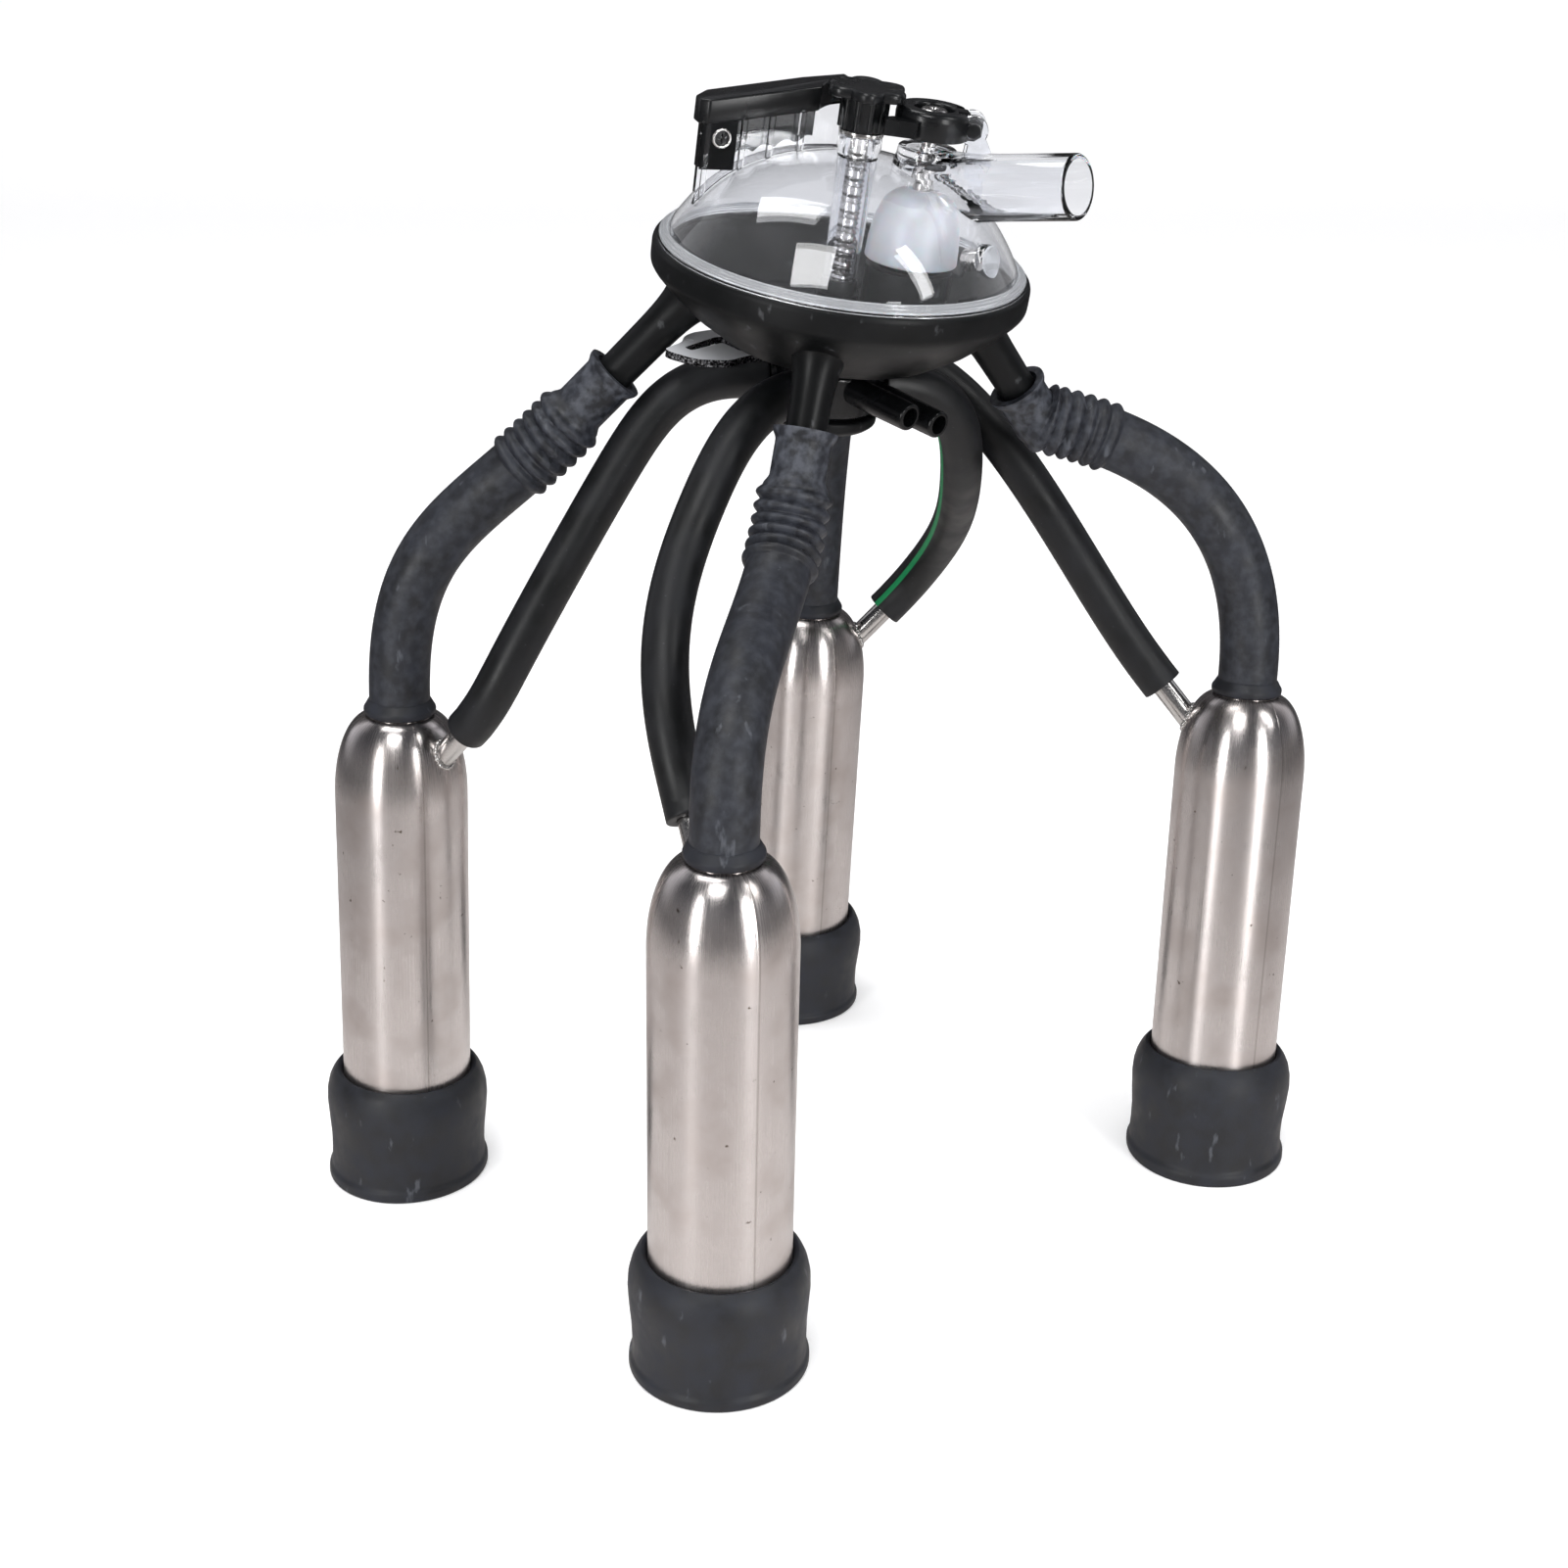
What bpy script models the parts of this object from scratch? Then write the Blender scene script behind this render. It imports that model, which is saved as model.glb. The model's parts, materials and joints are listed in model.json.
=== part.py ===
"""Milking cluster: four teat cups standing on their mouthpieces, joined to a clear-topped claw.

Lengths below are in millimetres and are turned into metres where a mesh is made. World +Z is up.
The claw has its own tilted frame, with its origin at the middle of the bowl's rim.
"""

import math

import bmesh
import bpy
from mathutils import Matrix, Vector

MM = 0.001
GAP = 0.3  # air between two pieces that fit together

# Claw placing
CLAW_ORIGIN = (16.8, 0.0, 326.6)
CLAW_DOWN_RIGHT = 7.26  # degrees
CLAW_DOWN_FRONT = 8.77  # degrees

# Teat cups: foot position, lean per unit of height, nozzle azimuth on the claw, nipple azimuth
# on the shell and port azimuth on the distributor, in degrees
CUPS = {
    "front": ((-20.5, -125.4), (0.015, -0.030), -97.0, 112.0, -124.0),
    "left": ((-137.7, -8.9), (0.037, 0.011), 187.0, -32.0, 189.0),
    "right": ((156.4, 5.0), (0.027, 0.090), 12.0, 164.0, 63.0),
    "back": ((1.8, 129.3), (0.043, -0.059), 85.0, 8.0, 14.5),
}
# Nozzle mouths, where each cuff begins: radius and height in the claw's frame
MOUTHS = {
    "front": (56.0, -39.5),
    "left": (68.0, -45.5),
    "right": (66.0, -40.5),
    "back": (66.0, -44.0),
}
# Which way each liner heads once it is off its nozzle, in the world. None keeps to the nozzle.
AIMS = {"front": None, "left": None, "right": (0.93, 0.05, -0.22), "back": None}

# Shell
SHELL_R = 22.5
SHELL_WALL = 1.2
SHELL_FOOT = 26.6
SHELL_TOP = 174.5
SHELL_ARCH = SHELL_TOP - 2.5  # height at which the shoulder's curve meets the neck
SHELL_SHOULDER = SHELL_ARCH - 26.0
NECK_R = 10.9
NIPPLE_R = 4.0
NIPPLE_BORE_R = 2.8
NIPPLE_HEIGHT = SHELL_TOP - 13.5
NIPPLE_RADIUS_AT = SHELL_R - 5.5
NIPPLE_OUT = 24.0
NIPPLE_RISE = 42.0  # degrees from the cup's axis

# Liner
LIP_R = SHELL_R + 5.9
MOUTH_R = 11.5
BARREL_R = 12.2
BARREL_BORE_R = 10.0
HEAD_TOP = 41.3
TUBE_R = 10.2
TUBE_BORE_R = 6.8
COLLAR_R = 12.1
BELLOWS_R = 11.8
BELLOWS_RIBS = 6
BELLOWS_PITCH = 4.4
CUFF_OVERLAPS = {"front": 11.0, "left": 13.0, "right": 7.0, "back": 13.0}
CUFF_FREE = 6.0
LINER_PULL = {"front": (0.50, 0.40), "left": (0.52, 0.42), "right": (0.50, 0.36), "back": (0.5, 0.4)}

# Pulse tubes
PULSE_R = 7.3
PULSE_OVERLAP = 13.0
PULSE_TURN = 11.0
# How strongly each pulse tube leaves its cup and which way it leans there, then which way it
# drops from its port and how strongly
PULSE_PULL = {
    "front": (0.38, (-0.1, -0.45, 0.35), (-0.42, -0.1, -1.0), 0.30),
    "left": (0.20, (-0.1, 0.0, 0.3), (-0.58, -0.05, -0.86), 0.19),
    "right": (0.22, (0.0, 0.0, 0.0), (0.90, 0.04, -0.38), 0.25),
    "back": (0.36, (0.0, 0.0, 0.1), (0.05, 0.22, -0.98), 0.36),
}

# Lower bowl
RIM_R = 60.5
BOWL_BOTTOM = -31.2
BOWL_FLOOR = -27.0
NOZZLE_R = 6.1
CUFF_R = NOZZLE_R + 2.6
NOZZLE_BORE_R = 4.2
NOZZLE_ROOT = (44.0, -15.0)
SCREW_R = 2.9
INSERT_R = SCREW_R + 1.7
INSERT_FOOT = -22.1
BOSS_R = INSERT_R + 2.4
BOSS_TOP = -12.2
VALVE_X = 21.3
SEAT_R = 13.8
SEAT_BORE_R = 10.2
SEAT_TOP = -0.8

# Upper bowl
FLANGE_R = RIM_R - 1.8
DOME_R = 67.9
DOME_CENTRE = -36.4
DOME_FULLER = 2.6
DOME_WALL = 2.2
COLUMN_TOP_R = 6.2
COLUMN_FOOT_R = 5.3
COLUMN_BORE_R = SCREW_R + 0.7
COLUMN_TOP = 37.6
COLUMN_FOOT = -7.3
TURRET_TOP = 36.6
OUTLET_R = 10.2
OUTLET_BORE_R = 8.5
OUTLET_AZIMUTH = -37.3
OUTLET_RISE = 15.3
OUTLET_START = 23.5
OUTLET_LENGTH = 56.0

# Handle on the upper bowl
HANDLE_LEFT = (-48.6, -9.4)
HANDLE_RIGHT = (-12.5, 4.5)
HANDLE_TOP_LEFT = 37.4
HANDLE_TOP_RIGHT = 43.6
HANDLE_WALL = 2.2
COVER_HEIGHT = 6.2
COVER_DEPTH = 11.0
SKIRT_FOOT_LEFT = 24.0
SKIRT_FOOT_RIGHT = 33.2
RIVET_R = 3.0

# Clamp screw and knob
SCREW_TIP = -20.5
KNOB_R = 13.0
KNOB_VALLEY_R = 10.2
KNOB_LOBES = 6
KNOB_TOP = 52.6
KNOB_PLATE = 3.3
HUB_R = 7.7
HUB_FOOT = COLUMN_TOP + 1.6

# Valve
STEM_R = 2.4
BELL_R = 14.7
BELL_FOOT = 1.4
BELL_TOP = 22.8
RING_R = 11.8
RING_HOLE_R = 6.4
RING_FOOT = 40.2
RING_TOP = 48.8
WEB_FOOT = 43.6
WEB_TOP = 45.2
HEAD_FOOT = 46.4
PIN_X = VALVE_X + 12.5
PIN_Z = 44.0
PIN_R = 2.3
EYE_R = 4.6

# Pulse distributor and hook plate
PLATE_TOP = BOWL_BOTTOM - GAP
PLATE_THICK = 2.4
BODY_TOP = PLATE_TOP - PLATE_THICK - GAP
BODY_FOOT = BODY_TOP - 15.8
BODY_R = 17.5
COVER_R = 18.6
COVER_FOOT = BODY_FOOT - 5.2
PORT_Z = BODY_TOP - 8.1
PORT_R = NIPPLE_R
PORT_OUT = 31.0
PIPE_R = 4.4
PIPE_BORE_R = 3.1
PIPE_AZIMUTH = -47.0
PIPES = ((-2.6, BODY_TOP - 5.4, 41.5), (8.9, BODY_TOP - 8.8, 44.0))  # sideways offset, height, reach

for old in list(bpy.data.objects):
    bpy.data.objects.remove(old, do_unlink=True)

scene = bpy.context.scene
scene.unit_settings.system = "METRIC"
scene.unit_settings.scale_length = 1.0


def material(name, colour, metallic=0.0, roughness=0.5, transmission=0.0):
    mat = bpy.data.materials.new(name)
    mat.use_nodes = True
    shader = mat.node_tree.nodes["Principled BSDF"]
    shader.inputs["Base Color"].default_value = (*colour, 1.0)
    shader.inputs["Metallic"].default_value = metallic
    shader.inputs["Roughness"].default_value = roughness
    shader.inputs["Transmission Weight"].default_value = transmission
    mat.diffuse_color = (*colour, 1.0)
    return mat


LOOKS = {
    "steel": ((0.62, 0.62, 0.60), 1.0, 0.28, 0.0),
    "polished": ((0.80, 0.80, 0.80), 1.0, 0.08, 0.0),
    "brass": ((0.70, 0.50, 0.22), 1.0, 0.3, 0.0),
    "liner": ((0.035, 0.037, 0.045), 0.0, 0.55, 0.0),
    "rubber": ((0.012, 0.012, 0.013), 0.0, 0.5, 0.0),
    "black": ((0.012, 0.012, 0.013), 0.0, 0.3, 0.0),
    "clear": ((0.92, 0.95, 1.0), 0.0, 0.04, 1.0),
    "silicone": ((0.80, 0.79, 0.76), 0.0, 0.4, 0.4),
}

TILT = Matrix.Rotation(math.radians(CLAW_DOWN_FRONT), 4, "X") @ Matrix.Rotation(
    math.radians(CLAW_DOWN_RIGHT), 4, "Y"
)
CLAW = Matrix.Translation(Vector(CLAW_ORIGIN)) @ TILT
made = []
helpers = []


def polar(radius, azimuth, z=0.0):
    a = math.radians(azimuth)
    return Vector((radius * math.cos(a), radius * math.sin(a), z))


def mesh_object(name, points, faces, look=None, frame=None, at=(0.0, 0.0, 0.0)):
    """A mesh from points in millimetres. Its own origin is at the point at of the same frame."""
    mesh = bpy.data.meshes.new(name)
    origin = Vector(at)
    mesh.from_pydata([(Vector(p) - origin) * MM for p in points], [], faces)
    shape = bmesh.new()
    shape.from_mesh(mesh)
    bmesh.ops.recalc_face_normals(shape, faces=shape.faces)
    for face in shape.faces:
        face.smooth = True
    for edge in shape.edges:
        if len(edge.link_faces) == 2 and edge.calc_face_angle(0.0) > math.radians(38):
            edge.smooth = False
    shape.to_mesh(mesh)
    shape.free()
    obj = bpy.data.objects.new(name, mesh)
    scene.collection.objects.link(obj)
    matrix = (frame or Matrix()) @ Matrix.Translation(origin)
    matrix.translation = matrix.translation * MM
    obj.matrix_world = matrix
    if look:
        mesh.materials.append(material(name, *LOOKS[look]))
        made.append(obj)
    else:
        obj.hide_render = True
        obj.display_type = "WIRE"
        helpers.append(obj)
    return obj


def lathe(name, profile, look=None, steps=32, frame=None, closed=False, centre=(0, 0), at=None):
    """Turns a profile of (radius, height) about a vertical axis. An open profile ends on it."""
    points = []
    rings = []
    for radius, height in profile:
        if radius < 1e-6:
            rings.append([len(points)])
            points.append((centre[0], centre[1], height))
            continue
        rings.append(list(range(len(points), len(points) + steps)))
        for i in range(steps):
            turn = 2 * math.pi * i / steps
            x = centre[0] + radius * math.cos(turn)
            y = centre[1] + radius * math.sin(turn)
            points.append((x, y, height))
    faces = []
    pairs = list(zip(rings, rings[1:]))
    if closed:
        pairs.append((rings[-1], rings[0]))
    for low, high in pairs:
        for i in range(steps):
            j = (i + 1) % steps
            if len(low) == 1 and len(high) == 1:
                continue
            if len(low) == 1:
                faces.append((low[0], high[j], high[i]))
            elif len(high) == 1:
                faces.append((low[i], low[j], high[0]))
            else:
                faces.append((low[i], low[j], high[j], high[i]))
    return mesh_object(name, points, faces, look, frame, at or (centre[0], centre[1], 0.0))


def loops_solid(name, loops, look=None, frame=None, closed=True, at=(0, 0, 0)):
    """Skins loops of points, each with the same count. Closed joins the last loop to the first."""
    count = len(loops[0])
    points = [p for loop in loops for p in loop]
    faces = []
    pairs = [(k, k + 1) for k in range(len(loops) - 1)]
    if closed:
        pairs.append((len(loops) - 1, 0))
    for a, b in pairs:
        for i in range(count):
            j = (i + 1) % count
            faces.append((a * count + i, a * count + j, b * count + j, b * count + i))
    if not closed:
        faces.append(tuple(range(count)))
        faces.append(tuple(range((len(loops) - 1) * count, len(loops) * count)))
    return mesh_object(name, points, faces, look, frame, at)


def prism(name, outline, low, high, look=None, frame=None, at=(0, 0, 0)):
    """Stands an outline of (x, y) up from low to high. Both may be functions of (x, y)."""
    base = low if callable(low) else lambda x, y: low
    roof = high if callable(high) else lambda x, y: high
    loops = [
        [(x, y, base(x, y)) for x, y in outline],
        [(x, y, roof(x, y)) for x, y in outline],
    ]
    return loops_solid(name, loops, look, frame, closed=False, at=at)


def across(axis):
    """Two directions square to an axis, the first as near level as it can be."""
    axis = axis.normalized()
    side = Vector((0, 0, 1)).cross(axis)
    if side.length < 1e-3:
        side = Vector((1, 0, 0))
    side.normalize()
    return side, axis.cross(side)


def rod(name, start, end, radius, look=None, steps=20, frame=None, bore=None, at=None):
    """A round bar from start to end, or a tube when a bore radius is given."""
    start, end = Vector(start), Vector(end)
    u, v = across(end - start)

    def loop(middle, r):
        turns = [2 * math.pi * i / steps for i in range(steps)]
        return [middle + u * r * math.cos(t) + v * r * math.sin(t) for t in turns]

    loops = [loop(start, radius), loop(end, radius)]
    if bore:
        loops += [loop(end, bore), loop(start, bore)]
    return loops_solid(name, loops, look, frame, closed=bool(bore), at=at or start)


def cut(obj, tool, operation="DIFFERENCE"):
    modifier = obj.modifiers.new(tool.name, "BOOLEAN")
    modifier.operation = operation
    modifier.solver = "EXACT"
    modifier.object = tool


def join(obj, tool):
    cut(obj, tool, "UNION")


def bezier(p0, p1, p2, p3, count):
    points = []
    for i in range(count + 1):
        t = i / count
        a, b, c, d = (1 - t) ** 3, 3 * t * (1 - t) ** 2, 3 * t * t * (1 - t), t**3
        points.append(p0 * a + p1 * b + p2 * c + p3 * d)
    return points


class Route:
    """A path through points, read by distance along it, with a frame that doesn't twist."""

    def __init__(self, points, first_side):
        self.points = [points[0]]
        for point in points[1:]:
            if (point - self.points[-1]).length > 1e-4:
                self.points.append(point)
        self.reach = [0.0]
        for a, b in zip(self.points, self.points[1:]):
            self.reach.append(self.reach[-1] + (b - a).length)
        self.length = self.reach[-1]
        last = len(self.points) - 1
        self.along = [
            (self.points[min(i + 1, last)] - self.points[max(i - 1, 0)]).normalized()
            for i in range(last + 1)
        ]
        side = first_side
        self.side = []
        for along in self.along:
            side = (side - along * side.dot(along)).normalized()
            self.side.append(side)

    def loop(self, distance, radius, steps):
        distance = min(max(distance, 0.0), self.length)
        k = 0
        while k < len(self.reach) - 2 and self.reach[k + 1] < distance:
            k += 1
        t = (distance - self.reach[k]) / (self.reach[k + 1] - self.reach[k])
        middle = self.points[k].lerp(self.points[k + 1], t)
        along = self.along[k].lerp(self.along[k + 1], t).normalized()
        side = self.side[k].lerp(self.side[k + 1], t)
        side = (side - along * side.dot(along)).normalized()
        other = along.cross(side)
        turns = [2 * math.pi * i / steps for i in range(steps)]
        return [middle + side * radius * math.cos(a) + other * radius * math.sin(a) for a in turns]


# ---------------------------------------------------------------- teat cups
def nozzle_point(name, distance):
    """Point on a nozzle's axis in the claw's frame, at a distance beyond the cuff's mouth."""
    radius, height = MOUTHS[name]
    way = Vector((radius - NOZZLE_ROOT[0], height - NOZZLE_ROOT[1])).normalized()
    return polar(radius + way.x * distance, CUPS[name][2], height + way.y * distance)


def shell_radius(s, offset=0.0):
    """Outer radius of the shell at height s, less an offset."""
    if s <= SHELL_SHOULDER:
        return SHELL_R - offset
    t = min((s - SHELL_SHOULDER) / (SHELL_ARCH - SHELL_SHOULDER), 1.0)
    return NECK_R + (SHELL_R - NECK_R) * math.sqrt(max(0.0, 1 - t * t)) - offset


def cup(name):
    foot, lean, _, nipple_azimuth, port_azimuth = CUPS[name]
    base = Vector((foot[0], foot[1], 0.0))
    axis = Vector((lean[0], lean[1], 1.0)).normalized()
    up = Vector((0, 0, 1))
    side = Vector((1, 0, 0))

    def ring(s, radius, steps):
        """A loop about the cup's axis. The soft foot turns level, to lie flat on the ground."""
        t = min(max(s / 22.0, 0.0), 1.0)
        normal = up.lerp(axis, t).normalized()
        u = (side - normal * side.dot(normal)).normalized()
        v = normal.cross(u)
        middle = base + axis * (s / axis.z if s < 22 else 22 / axis.z + s - 22)
        turns = [2 * math.pi * i / steps for i in range(steps)]
        return [middle + u * radius * math.cos(a) + v * radius * math.sin(a) for a in turns]

    def at_height(s):
        return base + axis * (22 / axis.z + s - 22)

    # Shell
    steps = 16
    outer = [(SHELL_R, SHELL_FOOT), (SHELL_R, SHELL_SHOULDER)]
    for t in (0.35, 0.62, 0.82, 0.95, 1.0):
        s = SHELL_SHOULDER + t * (SHELL_ARCH - SHELL_SHOULDER)
        outer.append((shell_radius(s), s))
    outer.append((NECK_R, SHELL_TOP))
    inner = [(NECK_R - SHELL_WALL, SHELL_TOP), (NECK_R - SHELL_WALL, SHELL_TOP - 3.9)]
    for t in (0.93, 0.80, 0.60, 0.35):
        s = SHELL_SHOULDER + t * (SHELL_TOP - 3.9 - SHELL_SHOULDER)
        inner.append((shell_radius(s + 1.2 * t, SHELL_WALL), s))
    inner += [(SHELL_R - SHELL_WALL, SHELL_SHOULDER), (SHELL_R - SHELL_WALL, SHELL_FOOT)]
    loops = [ring(s, r, steps) for r, s in outer + inner]
    shell = loops_solid("shell_" + name, loops, "steel", at=at_height(SHELL_FOOT))
    # Pulse nipple through the shoulder
    u = (side - axis * side.dot(axis)).normalized()
    v = axis.cross(u)
    a = math.radians(nipple_azimuth)
    outward = u * math.cos(a) + v * math.sin(a)
    rise = math.radians(NIPPLE_RISE)
    way = axis * math.cos(rise) + outward * math.sin(rise)
    root = at_height(NIPPLE_HEIGHT) + outward * NIPPLE_RADIUS_AT
    inside = root - way * 2.6
    tip = root + way * NIPPLE_OUT
    rod("nipple_" + name, inside, tip, NIPPLE_R, "steel", 16, bore=NIPPLE_BORE_R)
    hole = rod("cut_nipple_" + name, root - way * 9, root + way * 12, NIPPLE_R + GAP, steps=16)
    cut(shell, hole)

    # Liner
    steps = 16
    start = at_height(SHELL_TOP + 7.5)
    overlap = CUFF_OVERLAPS[name]
    mouth = CLAW @ nozzle_point(name, 0.0)
    end = CLAW @ nozzle_point(name, overlap + 3)
    off = (end - mouth).normalized()
    aim = Vector(AIMS[name]).normalized() if AIMS[name] else off
    turned = end + off * 3.5 + aim * 5.5
    span = (turned - start).length
    up_pull, aim_pull = LINER_PULL[name]
    curve = bezier(start, start + axis * span * up_pull, turned + aim * span * aim_pull, turned, 24)
    corner = bezier(turned, turned - aim * 4.0, end + off * 3.0, end, 5)
    route = Route(curve + corner[1:] + [mouth], (side - axis * side.dot(axis)).normalized())
    bend = route.length - overlap - CUFF_FREE
    head = [
        (MOUTH_R, 0.0),
        (LIP_R, 0.0),
        (LIP_R, 4.4),
        (LIP_R - 1.6, 5.4),
        (LIP_R - 1.9, 15.0),
        (LIP_R - 1.0, 26.0),
        (LIP_R + 0.2, 35.0),
        (LIP_R - 2.2, HEAD_TOP),
        (SHELL_R + 1.6, HEAD_TOP),
        (SHELL_R + GAP, HEAD_TOP - 1.2),
        (SHELL_R + GAP, SHELL_FOOT - GAP),
        (SHELL_R - SHELL_WALL - GAP, SHELL_FOOT - GAP),
        (SHELL_R - SHELL_WALL - GAP, 32.0),
        (BARREL_R, 44.0),
        (BARREL_R, SHELL_SHOULDER + 2.0),
        (NECK_R - SHELL_WALL - GAP, SHELL_TOP - 16.5),
        (NECK_R - SHELL_WALL - GAP, SHELL_TOP + GAP),
        (COLLAR_R, SHELL_TOP + GAP),
        (COLLAR_R, SHELL_TOP + 3.4),
        (TUBE_R, SHELL_TOP + 5.0),
    ]
    bore = [
        (TUBE_BORE_R - 0.6, SHELL_TOP + 5.0),
        (TUBE_BORE_R - 0.8, SHELL_TOP - 16.5),
        (BARREL_BORE_R, SHELL_SHOULDER - 1.0),
        (BARREL_BORE_R, 48.0),
        (SHELL_R - SHELL_WALL - 3.4, 27.0),
        (SHELL_R - SHELL_WALL - 3.4, 5.0),
        (MOUTH_R, 3.4),
    ]
    loops = [ring(s, r, steps) for r, s in head]
    ribs_end = bend - 1.0
    ribs_start = ribs_end - BELLOWS_RIBS * BELLOWS_PITCH
    plain = 5
    for i in range(plain):
        loops.append(route.loop(ribs_start * (i + 0.15) / plain, TUBE_R, steps))
    for i in range(BELLOWS_RIBS):
        low = ribs_start + i * BELLOWS_PITCH
        loops.append(route.loop(low, TUBE_R - 0.2, steps))
        loops.append(route.loop(low + BELLOWS_PITCH * 0.5, BELLOWS_R, steps))
    loops.append(route.loop(ribs_end, TUBE_R - 0.3, steps))
    loops.append(route.loop(ribs_end + 3.5, CUFF_R, steps))
    loops.append(route.loop(route.length - 2.2, CUFF_R, steps))
    loops.append(route.loop(route.length - 1.8, CUFF_R + 0.7, steps))
    loops.append(route.loop(route.length, CUFF_R + 0.7, steps))
    loops.append(route.loop(route.length, NOZZLE_R + GAP, steps))
    stop = route.length - overlap - 0.6
    loops.append(route.loop(stop, NOZZLE_R + GAP, steps))
    loops.append(route.loop(stop - 1.6, TUBE_BORE_R - 0.9, steps))
    inner = 5
    for i in range(inner):
        loops.append(route.loop((stop - 6) * (inner - i) / (inner + 0.6), TUBE_BORE_R, steps))
    loops += [ring(s, r, steps) for r, s in bore]
    loops_solid("liner_" + name, loops, "liner", at=start)

    # Pulse tube
    steps = 10
    begin = tip - way * PULSE_OVERLAP
    leave = tip + way * 6
    port = CLAW @ polar(PORT_OUT, port_azimuth, PORT_Z)
    outwards = (CLAW @ polar(PORT_OUT + 1, port_azimuth, PORT_Z)) - port
    arrive = port + outwards * 6
    close = port - outwards * (PULSE_OVERLAP - 1.5)
    leave_pull, leave_lean, drop, drop_pull = PULSE_PULL[name]
    drop = Vector(drop).normalized()
    turned = arrive + outwards * PULSE_TURN + drop * PULSE_TURN
    span = (turned - leave).length
    curve = bezier(
        leave,
        leave + (way + Vector(leave_lean)) * span * leave_pull,
        turned + drop * span * drop_pull,
        turned,
        20,
    )
    corner = bezier(
        turned,
        turned - drop * PULSE_TURN * 0.55,
        arrive + outwards * PULSE_TURN * 0.45,
        arrive,
        8,
    )
    first = (side - way * side.dot(way)).normalized()
    route = Route([begin, tip] + curve + corner[1:] + [port, close], first)
    loops = []
    count = 11
    edge = PULSE_OVERLAP + 4
    reach = [0.0, edge]
    reach += [edge + (route.length - 2 * edge) * i / count for i in range(1, count)]
    reach += [route.length - edge, route.length]
    for d in reach:
        loops.append(route.loop(d, PULSE_R, steps))
    fit = (NIPPLE_R + GAP) / math.cos(math.pi / steps)
    loops.append(route.loop(route.length, fit, steps))
    loops.append(route.loop(route.length - edge, fit, steps))
    for d in reversed(reach[2:-2:2]):
        loops.append(route.loop(d, fit, steps))
    loops.append(route.loop(edge, fit, steps))
    loops.append(route.loop(0.0, fit, steps))
    loops_solid("pulse_tube_" + name, loops, "rubber", at=begin)


for cup_name in CUPS:
    cup(cup_name)

# ---------------------------------------------------------------- lower bowl
bowl_outside = [
    (0.0, -25.4),
    (2.8, -25.4),
    (2.8, BOWL_BOTTOM),
    (28.0, BOWL_BOTTOM),
    (36.0, -28.4),
    (46.5, -21.6),
    (RIM_R - 5.5, -14.2),
    (RIM_R - 1.1, -9.6),
    (RIM_R, -5.8),
    (RIM_R, -2.0),
    (RIM_R - 0.6, -0.7),
    (FLANGE_R + GAP, -0.7),
    (FLANGE_R + GAP, -3.3),
    (FLANGE_R - 3.7, -3.3),
    (54.0, -6.0),
    (49.0, -12.6),
    (41.5, -19.4),
    (33.5, -25.0),
    (28.0, BOWL_FLOOR),
    (BOSS_R, BOWL_FLOOR),
    (BOSS_R - 0.4, BOSS_TOP),
    (INSERT_R + GAP, BOSS_TOP),
    (INSERT_R + GAP, INSERT_FOOT - GAP),
    (0.0, INSERT_FOOT - GAP),
]
bowl = lathe("lower_bowl", bowl_outside, "black", 30, CLAW)
seat = lathe(
    "add_seat",
    [
        (SEAT_BORE_R, BOWL_FLOOR - 1.5),
        (SEAT_R, BOWL_FLOOR - 1.5),
        (SEAT_R, SEAT_TOP),
        (SEAT_BORE_R, SEAT_TOP),
    ],
    None,
    24,
    CLAW,
    closed=True,
    centre=(VALVE_X, 0),
)
join(bowl, seat)
for cup_name, values in CUPS.items():
    azimuth = values[2]
    root = polar(NOZZLE_ROOT[0], azimuth, NOZZLE_ROOT[1])
    tip = nozzle_point(cup_name, CUFF_OVERLAPS[cup_name])
    way = (tip - root).normalized()
    u, v = across(way)
    turns = [2 * math.pi * i / 14 for i in range(14)]
    stations = (
        (root + way * 2.0, NOZZLE_R + 1.7),
        (root + way * 14.0, NOZZLE_R + 0.5),
        (nozzle_point(cup_name, -1.0), NOZZLE_R),
        (tip, NOZZLE_R - 0.1),
    )
    loops = [
        [p + u * r * math.cos(t) + v * r * math.sin(t) for t in turns] for p, r in stations
    ]
    join(bowl, loops_solid("add_nozzle_" + cup_name, loops, None, CLAW, closed=False))
for cup_name, values in CUPS.items():
    azimuth = values[2]
    root = polar(NOZZLE_ROOT[0], azimuth, NOZZLE_ROOT[1])
    tip = nozzle_point(cup_name, 20.0)
    way = (tip - root).normalized()
    cut(bowl, rod("cut_nozzle_" + cup_name, root - way * 14, tip, NOZZLE_BORE_R, None, 12, CLAW))
slot_z = (SEAT_TOP - 6.0, BOWL_FLOOR + 0.6)
for i, turn in enumerate((0, 75, 285)):
    centre = Vector((VALVE_X, 0, 0))
    a = centre + polar(SEAT_BORE_R - 3, turn, (slot_z[0] + slot_z[1]) / 2)
    b = centre + polar(SEAT_R + 2, turn, (slot_z[0] + slot_z[1]) / 2)
    cut(bowl, rod(f"cut_seat_{i}", a, b, 3.6, None, 12, CLAW))

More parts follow.
